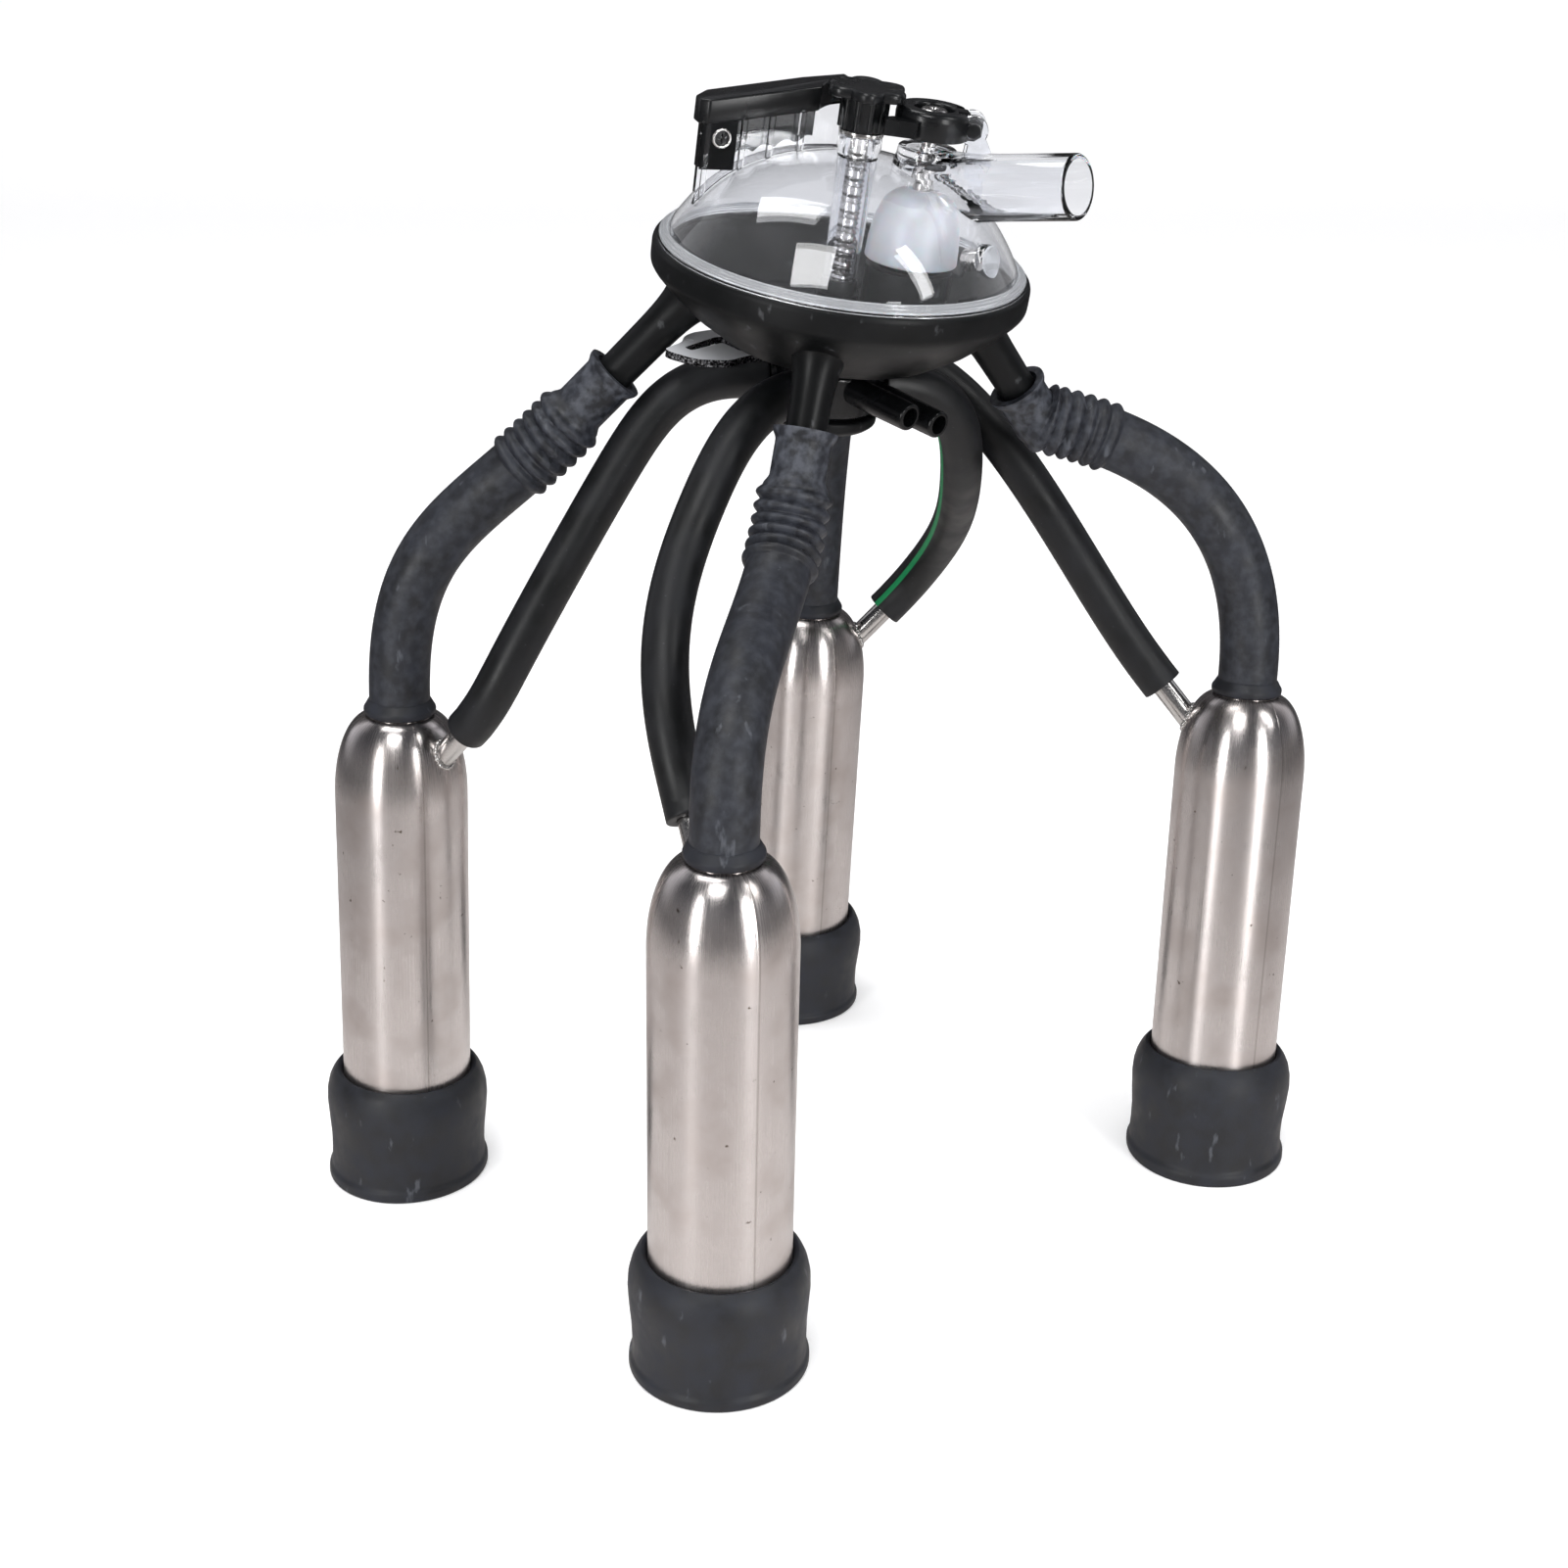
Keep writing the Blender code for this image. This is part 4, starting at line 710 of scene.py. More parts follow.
# %% [markdown]
# ## Node trees for what follows a path or repeats
# A hose is a circle swept along a line, so one Geometry Nodes tree makes all eight. It measures
# how far each point is from the hose's mouth, and from that it works out the bellows, the
# narrower cuff and the lip. Three small trees lay weld beads along a loop, wind a screw thread
# and set ribs in a ring. Sizes are named inputs, in metres.


# %% Tree helpers
def new_tree(name, inputs):
    """An empty Geometry Nodes tree with a geometry input and output and these inputs."""
    tree = bpy.data.node_groups.new(name, "GeometryNodeTree")
    tree.interface.new_socket("Geometry", in_out="INPUT", socket_type="NodeSocketGeometry")
    for label, kind in inputs.items():
        tree.interface.new_socket(label, in_out="INPUT", socket_type=kind)
    tree.interface.new_socket("Geometry", in_out="OUTPUT", socket_type="NodeSocketGeometry")
    return tree, add(tree, "NodeGroupInput").outputs


def close_tree(tree, geometry, mat):
    """Ends a tree in Realize Instances and Set Material."""
    real = add(tree, "GeometryNodeRealizeInstances", {0: geometry}).outputs[0]
    painted = add(tree, "GeometryNodeSetMaterial", {"Geometry": real, "Material": mat}).outputs[0]
    add(tree, "NodeGroupOutput", {0: painted})


def run_tree(name, tree, values, points=None, cyclic=False, place=WORLD, sharp=60.0):
    """Runs a tree on a line through points in millimetres, or on nothing, and keeps a plain mesh."""
    mesh = bpy.data.meshes.new(name)
    if points:
        ends = [(i, i + 1) for i in range(len(points) - 1)]
        if cyclic:
            ends.append((len(points) - 1, 0))
        mesh.from_pydata([tuple(Vector(p) * MM) for p in points], ends, [])
    obj = bpy.data.objects.new(name, mesh)
    scene.collection.objects.link(obj)
    step = obj.modifiers.new("tree", "NODES")
    step.node_group = tree
    sockets = {item.name: item.identifier for item in tree.interface.items_tree if item.in_out == "INPUT"}
    for label, value in values.items():
        step[sockets[label]] = value
    done = baked(obj, name, sharp)
    in_metres = place.copy()
    in_metres.translation = place.translation * MM
    done.data.transform(in_metres)
    return done


# %% [markdown]
# The hose tree runs from the hose's foot to its mouth. Distances are taken back from the mouth,
# because that is where the cuff and the bellows are. The circle keeps how far each of its points
# is from its seam, as the attribute named round, and the tube's stripe is drawn by that.

# %% Hose tree
FLOAT, WHOLE = "NodeSocketFloat", "NodeSocketInt"
LIP_START, LIP_END = 4.0, 0.6
HOSE_STEPS = 56


def hose_tree(mat):
    """A hose swept along a line, with bellows, a cuff and a lip near the line's end."""
    labels = ("Radius", "Rib Pitch", "Rib Height", "Ribs From Mouth", "Cuff Radius", "Cuff Taper", "Lip")
    labels += ("Profile Turn",)
    tree, given = new_tree("hose_on_a_line", {**{label: FLOAT for label in labels}, "Ribs": WHOLE})
    line = add(tree, "GeometryNodeMeshToCurve", {0: given["Geometry"]}).outputs[0]
    whole = add(tree, "GeometryNodeSplineLength").outputs["Length"]
    so_far = add(tree, "GeometryNodeSplineParameter").outputs["Length"]
    left = add(tree, "ShaderNodeMath", {0: whole, 1: so_far}, operation="SUBTRACT").outputs[0]
    past = add(tree, "ShaderNodeMath", {0: left, 1: given["Ribs From Mouth"]}, operation="SUBTRACT")
    phase = add(tree, "ShaderNodeMath", {0: past, 1: given["Rib Pitch"]}, operation="DIVIDE")
    turn = add(tree, "ShaderNodeMath", {0: phase, 1: 2 * math.pi}, operation="MULTIPLY")
    swing = add(tree, "ShaderNodeMath", {0: turn}, operation="COSINE")
    wave = add(tree, "ShaderNodeMath", {0: swing, 1: -0.5, 2: 0.5}, operation="MULTIPLY_ADD")
    crest = add(tree, "ShaderNodeMath", {0: wave, 1: 0.55}, operation="POWER")
    after = add(tree, "ShaderNodeMath", {0: phase, 1: 0.0}, operation="GREATER_THAN")
    before = add(tree, "ShaderNodeMath", {0: phase, 1: given["Ribs"]}, operation="LESS_THAN")
    ribbed = add(tree, "ShaderNodeMath", {0: after, 1: before}, operation="MULTIPLY")
    shape = add(tree, "ShaderNodeMath", {0: crest, 1: ribbed}, operation="MULTIPLY")
    rib = add(tree, "ShaderNodeMath", {0: shape, 1: given["Rib Height"]}, operation="MULTIPLY")
    taper = add(
        tree,
        "ShaderNodeMath",
        {0: given["Ribs From Mouth"], 1: given["Cuff Taper"]},
        operation="SUBTRACT",
    )
    body = add(
        tree,
        "ShaderNodeMapRange",
        {
            "Value": left,
            "From Min": taper,
            "From Max": given["Ribs From Mouth"],
            "To Min": given["Cuff Radius"],
            "To Max": given["Radius"],
        },
        interpolation_type="SMOOTHSTEP",
    )
    lip = add(
        tree,
        "ShaderNodeMapRange",
        {
            "Value": left,
            "From Min": LIP_START * MM,
            "From Max": LIP_END * MM,
            "To Min": 0.0,
            "To Max": given["Lip"],
        },
        interpolation_type="SMOOTHSTEP",
    )
    with_rib = add(tree, "ShaderNodeMath", {0: body, 1: rib}, operation="ADD")
    radius = add(tree, "ShaderNodeMath", {0: with_rib, 1: lip}, operation="ADD")
    reach = add(tree, "ShaderNodeMath", {0: given["Ribs"], 1: given["Rib Pitch"]}, operation="MULTIPLY")
    bloom_end = add(
        tree, "ShaderNodeMath", {0: reach, 1: given["Ribs From Mouth"]}, operation="ADD"
    )
    bloom = add(
        tree,
        "ShaderNodeMapRange",
        {"Value": left, "From Min": bloom_end, "From Max": 0.0, "To Min": 0.25, "To Max": 1.0},
    )
    marked = add(
        tree,
        "GeometryNodeStoreNamedAttribute",
        {"Geometry": line, "Name": "bloom", "Value": bloom},
        data_type="FLOAT",
        domain="POINT",
    )
    loop = add(tree, "GeometryNodeCurvePrimitiveCircle", {"Resolution": HOSE_STEPS, "Radius": 1.0})
    turned_by = add(tree, "ShaderNodeCombineXYZ", {"Z": given["Profile Turn"]})
    faced = add(tree, "GeometryNodeTransform", {"Geometry": loop, "Rotation": turned_by})
    share = add(tree, "GeometryNodeSplineParameter").outputs["Factor"]
    swung = add(tree, "ShaderNodeMath", {0: share, 1: 2.0, 2: -1.0}, operation="MULTIPLY_ADD")
    from_back = add(tree, "ShaderNodeMath", {0: swung}, operation="ABSOLUTE")
    loop_marked = add(
        tree,
        "GeometryNodeStoreNamedAttribute",
        {"Geometry": faced, "Name": "round", "Value": from_back},
        data_type="FLOAT",
        domain="POINT",
    )
    wall = add(
        tree,
        "GeometryNodeCurveToMesh",
        {"Curve": marked, "Profile Curve": loop_marked, "Scale": radius},
    )
    close_tree(tree, wall, mat)
    return tree


# %% [markdown]
# Weld beads, the screw's thread and the hub's ribs are small shapes that repeat, so each has a
# tree of its own. The random sizes of the beads have a fixed seed.


# %% Beads, thread and ribs
def beads_tree(mat):
    """Weld beads: small uneven balls along a loop."""
    tree, given = new_tree("weld_beads", {"Bead": FLOAT, "Spacing": FLOAT})
    line = add(tree, "GeometryNodeMeshToCurve", {0: given["Geometry"]}).outputs[0]
    spots = add(tree, "GeometryNodeCurveToPoints", {0: line, "Length": given["Spacing"]}, mode="LENGTH")
    ball = add(tree, "GeometryNodeMeshIcoSphere", {"Radius": given["Bead"], "Subdivisions": 3})
    size = add(
        tree,
        "FunctionNodeRandomValue",
        {0: (0.7, 0.7, 0.55), 1: (1.25, 1.25, 1.0), "Seed": 4},
        data_type="FLOAT_VECTOR",
    )
    set_down = add(
        tree,
        "GeometryNodeInstanceOnPoints",
        {"Points": spots, "Instance": ball, "Scale": size},
    )
    smooth = add(tree, "GeometryNodeSetShadeSmooth", {0: set_down})
    close_tree(tree, smooth, mat)
    return tree


def thread_tree(mat):
    """A ridge wound round an axis, for a screw."""
    sizes = {label: FLOAT for label in ("Radius", "Height", "Turns", "Ridge")}
    tree, given = new_tree("screw_thread", sizes)
    coil = add(
        tree,
        "GeometryNodeCurveSpiral",
        {
            "Resolution": 28,
            "Rotations": given["Turns"],
            "Start Radius": given["Radius"],
            "End Radius": given["Radius"],
            "Height": given["Height"],
        },
    )
    ridge = add(tree, "GeometryNodeCurvePrimitiveCircle", {"Resolution": 4, "Radius": given["Ridge"]})
    wound = add(
        tree,
        "GeometryNodeCurveToMesh",
        {"Curve": coil, "Profile Curve": ridge, "Fill Caps": True},
    )
    close_tree(tree, wound, mat)
    return tree


def ring_tree(mat):
    """Upright round ribs set in a ring, such as the grip of a hub."""
    tree, given = new_tree("ribs_in_a_ring", {"Count": WHOLE, "Ring": FLOAT, "Rib": FLOAT, "Tall": FLOAT})
    spots = add(tree, "GeometryNodeMeshCircle", {"Vertices": given["Count"], "Radius": given["Ring"]})
    rib = add(
        tree,
        "GeometryNodeMeshCylinder",
        {"Vertices": 16, "Radius": given["Rib"], "Depth": given["Tall"]},
    )
    set_down = add(
        tree,
        "GeometryNodeInstanceOnPoints",
        {"Points": spots, "Instance": rib.outputs["Mesh"]},
    )
    close_tree(tree, set_down, mat)
    return tree


HOSE = hose_tree(LINER)
BEADS = beads_tree(FITTING_STEEL)
THREAD = thread_tree(FITTING_STEEL)
RING = ring_tree(GLOSS_BLACK)
print("node trees:", len(bpy.data.node_groups))

# %% [markdown]
# ## Teat cups
# A cup is a steel shell with a rubber liner pulled through it. The liner's mouthpiece is turned
# over the shell's foot, and its tube goes up to a nozzle on the claw. The cups lean a little, so
# each is skinned about its own axis, but its lip stays level, to stand flat.

# %% Cup sizes
LEANS = {
    "front": (0.015, -0.030),
    "left": (0.037, 0.011),
    "right": (0.027, 0.090),
    "back": (0.043, -0.059),
}
NOZZLE_AZIMUTHS = {"front": -97.0, "left": 187.0, "right": 12.0, "back": 85.0}
NIPPLE_AZIMUTHS = {"front": 112.0, "left": -32.0, "right": 164.0, "back": 8.0}
PORT_AZIMUTHS = {"front": -124.0, "left": 189.0, "right": 63.0, "back": 14.5}
MOUTHS = {"front": (56.0, -39.5), "left": (68.0, -45.5), "right": (66.0, -40.5), "back": (66.0, -44.0)}
CUFF_OVERLAPS = {"front": 11.0, "left": 13.0, "right": 7.0, "back": 13.0}
LINER_PULL = {"front": (0.50, 0.40), "left": (0.52, 0.42), "right": (0.50, 0.36), "back": (0.5, 0.4)}
RIGHT_AIM = Vector((0.93, 0.05, -0.22)).normalized()
SHELL_R, SHELL_WALL, SHELL_FOOT, SHELL_TOP = 22.5, 1.2, 26.6, 174.5
ARCH = SHELL_TOP - 0.4
SHOULDER = SHELL_TOP - 28.5
NECK_R = 10.9
NIPPLE_R, NIPPLE_BORE_R, NIPPLE_OUT = 4.0, 2.8, 24.0
NIPPLE_TILT = math.radians(42.0)  # away from the cup's axis
NIPPLE_DOWN, NIPPLE_SUNK, NIPPLE_TAIL = 13.5, 5.5, 2.6
LIP_R, HEAD_TOP = SHELL_R + 5.9, 41.3
NOZZLE_R, NOZZLE_BORE_R = 6.1, 4.2
NOZZLE_ROOT = (44.0, -15.0)
TUBE_R, CUFF_R = 10.2, NOZZLE_R + 2.6
LEVEL_FOOT = 22.0  # below this height the liner's rings turn level
SIDE = Vector((1, 0, 0))
print("shell length in mm:", round(SHELL_TOP - SHELL_FOOT, 1))


class Cup:
    """Where one cup stands: its foot, its axis and rings about that axis."""

    def __init__(self, name):
        self.name = name
        self.base = FEET[name]
        self.axis = Vector((*LEANS[name], 1.0)).normalized()

    def at(self, s):
        if s < LEVEL_FOOT:
            return self.base + self.axis * (s / self.axis.z)
        return self.base + self.axis * (LEVEL_FOOT / self.axis.z + s - LEVEL_FOOT)

    def ring(self, s, radius, steps=96):
        normal = Vector((0, 0, 1)).lerp(self.axis, min(max(s / LEVEL_FOOT, 0.0), 1.0)).normalized()
        u = (SIDE - normal * SIDE.dot(normal)).normalized()
        return circle(self.at(s), u, normal.cross(u), radius, steps)

    def nipple(self):
        """The nipple's root on the shell's shoulder and its direction."""
        u = (SIDE - self.axis * SIDE.dot(self.axis)).normalized()
        a = math.radians(NIPPLE_AZIMUTHS[self.name])
        outward = u * math.cos(a) + self.axis.cross(u) * math.sin(a)
        way = self.axis * math.cos(NIPPLE_TILT) + outward * math.sin(NIPPLE_TILT)
        return self.at(SHELL_TOP - NIPPLE_DOWN) + outward * (SHELL_R - NIPPLE_SUNK), way


def shell_radius(s):
    """The shell's outer radius at a height: straight, then an arch that meets the neck."""
    t = min(max((s - SHOULDER) / (ARCH - SHOULDER), 0.0), 1.0)
    return NECK_R + (SHELL_R - NECK_R) * math.sqrt(max(0.0, 1 - t * t))


# %% Shells, nipples and weld beads
ARCH_STEPS = 26
arch = [math.sin(math.pi / 2 * i / ARCH_STEPS) for i in range(1, ARCH_STEPS + 1)]
arch_heights = [SHOULDER + t * (ARCH - SHOULDER) for t in arch]
shell_outline = [(SHELL_R - 0.2, SHELL_FOOT), (SHELL_R, SHELL_FOOT + 0.3)]
shell_outline += [(SHELL_R, SHELL_FOOT + 0.3 + (SHOULDER - SHELL_FOOT) * i / 9) for i in range(1, 9)]
shell_outline += [(SHELL_R, SHOULDER)] + [(shell_radius(s), s) for s in arch_heights]
shell_outline += [(NECK_R, SHELL_TOP - 0.3), (NECK_R - 0.3, SHELL_TOP)]
shell_outline += [(NECK_R - SHELL_WALL, SHELL_TOP), (NECK_R - SHELL_WALL, ARCH - 1.4)]
shell_outline += [(shell_radius(s + 1.4) - SHELL_WALL, s - 1.0) for s in reversed(arch_heights[:-4])]
shell_outline += [(SHELL_R - SHELL_WALL, SHOULDER - 2.0), (SHELL_R - SHELL_WALL, SHELL_FOOT)]

for name in FEET:
    cup = Cup(name)
    root, way = cup.nipple()
    hole = plug("hole", root - way * 9, root + way * 12, NIPPLE_R + 0.05, WORLD)
    shell = skin("steel_shell_" + name, [cup.ring(s, r) for r, s in shell_outline], ring=True)
    shell = combine(shell, [hole], "DIFFERENCE")
    keep(shell, "base", ["shell_" + name], "shell_steel", SHELL_STEEL)
    pipe_outline = band(NIPPLE_BORE_R, NIPPLE_R, 0.0, NIPPLE_OUT + NIPPLE_TAIL)
    start = root - way * NIPPLE_TAIL
    pipe = bar("steel_nipple_" + name, start, start + way, pipe_outline, WORLD, 48, True, 0.3)
    keep(pipe, "base", ["nipple_" + name], "shell_steel", FITTING_STEEL)
    u, v = across(way)
    seam = []
    for spoke in circle(Vector((0, 0, 0)), u, v, NIPPLE_R, 40):
        near, far = -12.0, 14.0
        for _ in range(24):
            middle = (near + far) / 2
            point = root + spoke + way * middle - cup.base
            s = point.dot(cup.axis) + LEVEL_FOOT - LEVEL_FOOT / cup.axis.z
            reach = (point - cup.axis * point.dot(cup.axis)).length
            if reach < shell_radius(s) and s < ARCH:
                near = middle
            else:
                far = middle
        seam.append(root + spoke * 1.04 + way * near)
    beads = run_tree(
        "nipple_weld_" + name, BEADS, {"Bead": 0.95 * MM, "Spacing": 1.25 * MM}, seam, cyclic=True
    )
    keep(beads, "base", [], "shell_steel")
print("shells made:", len(FEET))

# %% [markdown]
# ### Liners
# The mouthpiece is turned from an outline with a rolled top edge, a slight waist and a small
# ring at the floor. Its surface is then pushed in and out by a slow noise, because soft rubber
# is never quite round. The tube follows the same route as the CAD model, as a curve from the
# shell's neck to the claw's nozzle, and the hose tree draws its bellows and cuff.


# %% Liner routes
def nozzle_point(name, distance):
    """A point on a nozzle's axis, at a distance beyond the cuff's mouth, in the claw's frame."""
    radius, height_at = MOUTHS[name]
    way = Vector((radius - NOZZLE_ROOT[0], height_at - NOZZLE_ROOT[1])).normalized()
    return polar(radius + way.x * distance, NOZZLE_AZIMUTHS[name], height_at + way.y * distance)


def bezier(p0, p1, p2, p3, count):
    points = []
    for i in range(count + 1):
        t = i / count
        points.append(
            p0 * (1 - t) ** 3 + p1 * 3 * t * (1 - t) ** 2 + p2 * 3 * t * t * (1 - t) + p3 * t**3
        )
    return points


def evened(points, spacing):
    """The same line with points at an even spacing, so that ribs come out alike."""
    reach = [0.0]
    for a, b in zip(points, points[1:]):
        reach.append(reach[-1] + (b - a).length)
    count = max(2, round(reach[-1] / spacing))
    result, k = [], 0
    for i in range(count + 1):
        distance = reach[-1] * i / count
        while k < len(points) - 2 and reach[k + 1] < distance:
            k += 1
        t = (distance - reach[k]) / max(reach[k + 1] - reach[k], 1e-9)
        result.append(points[k].lerp(points[k + 1], t))
    return result


def relaxed(points, rounds, ends=3):
    """Rounds off kinks by averaging each point with its neighbours, except at the ends."""
    points = list(points)
    for _ in range(rounds):
        points = [
            (points[i - 1] + points[i] * 2 + points[i + 1]) / 4
            if ends <= i < len(points) - ends
            else points[i]
            for i in range(len(points))
        ]
    return points


def liner_line(name):
    cup = Cup(name)
    start = cup.at(SHELL_TOP + 7.5)
    mouth = CLAW @ nozzle_point(name, 0.0)
    end = CLAW @ nozzle_point(name, CUFF_OVERLAPS[name] + 3)
    off = (end - mouth).normalized()
    aim = RIGHT_AIM if name == "right" else off
    bend = end + off * 3.5 + aim * 5.5
    span = (bend - start).length
    up_pull, aim_pull = LINER_PULL[name]
    curve = bezier(start, start + cup.axis * span * up_pull, bend + aim * span * aim_pull, bend, 60)
    corner = bezier(bend, bend - aim * 4.0, end + off * 3.0, end, 10)
    foot = cup.at(SHELL_TOP + 1.0)
    return relaxed(evened([foot] + curve + corner[1:] + [mouth], 0.45), 40, 12)


# %% Liners
RIBS, RIB_PITCH, RIB_HEIGHT, RIBS_PAST_CUFF = 6, 4.4, 1.7, 7.0
CUFF_TAPER, CUFF_LIP = 3.5, 1.3
head_outline = [
    (11.5, 0.0),
    (LIP_R - 0.3, 0.0),
    (LIP_R + 0.2, 0.8),
    (LIP_R + 0.2, 3.4),
    (LIP_R - 0.8, 4.8),
    (LIP_R - 1.0, 10.0),
    (LIP_R - 0.9, 16.0),
    (LIP_R - 0.3, 23.0),
    (LIP_R + 0.1, 29.0),
    (LIP_R - 0.1, 33.0),
    (LIP_R - 0.9, 36.5),
    (LIP_R - 2.2, 39.4),
    (LIP_R - 4.0, HEAD_TOP + 0.2),
    (SHELL_R + 0.9, HEAD_TOP - 0.1),
    (SHELL_R + 0.1, HEAD_TOP - 1.6),
    (SHELL_R + 0.1, 27.5),
    (SHELL_R - 2.0, 26.0),
    (SHELL_R - 2.0, 32.0),
    (12.2, 44.0),
    (12.2, 148.0),
    (9.2, 158.0),
    (9.2, SHELL_TOP + 0.1),
    (12.0, SHELL_TOP + 0.1),
    (12.2, SHELL_TOP + 2.2),
    (11.4, SHELL_TOP + 3.4),
    (TUBE_R + 0.2, SHELL_TOP + 5.2),
    (TUBE_R - 1.4, SHELL_TOP + 5.6),
    (6.0, SHELL_TOP + 5.0),
    (6.0, 158.0),
    (10.0, 145.0),
    (10.0, 48.0),
    (17.9, 27.0),
    (17.9, 5.0),
    (11.5, 3.4),
]
SAG = 0.45  # how far the soft mouthpiece strays from round


def add_wall(obj, thickness):
    """Gives a hose its wall, inwards from its surface."""
    wall = obj.modifiers.new("wall", "SOLIDIFY")
    wall.thickness = thickness * MM
    wall.offset = -1.0


def fine_rings(outline, longest=4.0):
    """Adds points to long straight stretches, so that the surface can be pushed about."""
    result = [outline[0]]
    for (r0, s0), (r1, s1) in zip(outline, outline[1:]):
        pieces = max(1, math.ceil(math.hypot(r1 - r0, s1 - s0) / longest))
        result += [
            (r0 + (r1 - r0) * i / pieces, s0 + (s1 - s0) * i / pieces) for i in range(1, pieces + 1)
        ]
    return result


rounded_head = fine_rings(softened(head_outline, 2.2, ring=True, steps=4))
for name in FEET:
    cup = Cup(name)
    loops = []
    for r, s in rounded_head:
        loop = cup.ring(s, r, 112)
        if r > SHELL_R + 1.4 and 0.5 < s:
            fade = min(1.0, s / 6.0, (HEAD_TOP + 0.6 - s) / 4.0)
            middle = cup.at(s)
            loop = [
                p + (p - middle).normalized() * SAG * fade * noise.noise(p * 0.045) for p in loop
            ]
        loops.append(loop)
    head = skin("liner_head_" + name, loops, ring=True, sharp=50.0)
    line = liner_line(name)
    hose = run_tree(
        "liner_tube_" + name,
        HOSE,
        {
            "Radius": TUBE_R * MM,
            "Ribs": RIBS,
            "Rib Pitch": RIB_PITCH * MM,
            "Rib Height": RIB_HEIGHT * MM,
            "Ribs From Mouth": (CUFF_OVERLAPS[name] + RIBS_PAST_CUFF) * MM,
            "Cuff Radius": CUFF_R * MM,
            "Cuff Taper": CUFF_TAPER * MM,
            "Lip": CUFF_LIP * MM,
            "Profile Turn": 0.0,
        },
        line,
    )
    add_wall(hose, CUFF_R - NOZZLE_R - 0.1)
    hose = baked(hose, sharp=60.0)
    keep(head, "base", ["liner_" + name], "liner_rubber", LINER)
    keep(hose, "base", [], "liner_rubber", LINER)
print("liner tube in mm:", round(sum((b - a).length for a, b in zip(line, line[1:])), 1))

# %% [markdown]
# ### Pulse tubes
# Each cup also has a plain rubber tube from its nipple to the distributor under the claw. It is
# pushed 6 mm over the nipple and 13 mm over the port, so it is straight at its ends and free in
# between. The same hose tree makes it, with no ribs.

# %% Pulse tubes
PULSE_R, PULSE_OVERLAP, PULSE_TURN = 7.3, 13.0, 11.0
NIPPLE_GRIP = 6.0
STRIPE_TURN = math.radians(134.0)  # puts the stripe on the side that faces the claw
PULSE_PULL = {
    "front": (0.38, (-0.1, -0.45, 0.35), (-0.42, -0.1, -1.0), 0.30),
    "left": (0.20, (-0.1, 0.0, 0.3), (-0.58, -0.05, -0.86), 0.19),
    "right": (0.22, (0.0, 0.0, 0.0), (0.90, 0.04, -0.38), 0.25),
    "back": (0.24, (0.0, 0.0, 0.1), (0.05, 0.22, -0.98), 0.24),
}
BODY_TOP = -34.2
PORT_Z, PORT_OUT, PORT_R = BODY_TOP - 8.1, 31.0, NIPPLE_R


def pulse_line(name):
    root, way = Cup(name).nipple()
    tip = root + way * NIPPLE_OUT
    leave = tip + way * 6
    port = CLAW @ polar(PORT_OUT, PORT_AZIMUTHS[name], PORT_Z)
    outwards = (CLAW @ polar(PORT_OUT + 1, PORT_AZIMUTHS[name], PORT_Z)) - port
    arrive = port + outwards * 6
    close = port - outwards * (PULSE_OVERLAP - 1.5)
    leave_pull, lean, drop, drop_pull = PULSE_PULL[name]
    drop = Vector(drop).normalized()
    bend = arrive + outwards * PULSE_TURN + drop * PULSE_TURN
    span = (bend - leave).length
    away = leave + (way + Vector(lean)) * span * leave_pull
    curve = bezier(leave, away, bend + drop * span * drop_pull, bend, 60)
    corner = bezier(
        bend, bend - drop * PULSE_TURN * 0.55, arrive + outwards * PULSE_TURN * 0.45, arrive, 16
    )
    route = evened([tip - way * NIPPLE_GRIP, tip] + curve + corner[1:] + [port, close], 1.2)
    return relaxed(relaxed(route, 160, 12), 70, 5)


for name in FEET:
    line = pulse_line(name)
    plain = {
        "Radius": PULSE_R * MM,
        "Ribs": 0,
        "Rib Pitch": 5.0 * MM,
        "Rib Height": 0.0,
        "Ribs From Mouth": 0.0,
        "Cuff Radius": PULSE_R * MM,
        "Cuff Taper": 1.0 * MM,
        "Lip": 0.0,
        "Profile Turn": STRIPE_TURN,
    }
    tube = run_tree("rubber_pulse_tube_" + name, HOSE, plain, line)
    add_wall(tube, PULSE_R - NIPPLE_R - 0.1)
    edge = tube.modifiers.new("cut_ends", "BEVEL")
    edge.width = 0.4 * MM
    edge.segments = 2
    edge.angle_limit = math.radians(60)
    tube = baked(tube, sharp=60.0)
    keep(tube, "base", ["pulse_tube_" + name], "tube_rubber", STRIPED_TUBE if name == "back" else TUBE)
print("pulse tube points:", len(line))

# %% [markdown]
# ## Lower bowl
# One moulding holds the claw together: a shallow bowl with a rounded rim, four nozzles that
# flare where they leave it, a boss for the screw's insert and a slotted seat under the valve.
# It is turned from an outline, and the other shapes are joined to it and drilled.

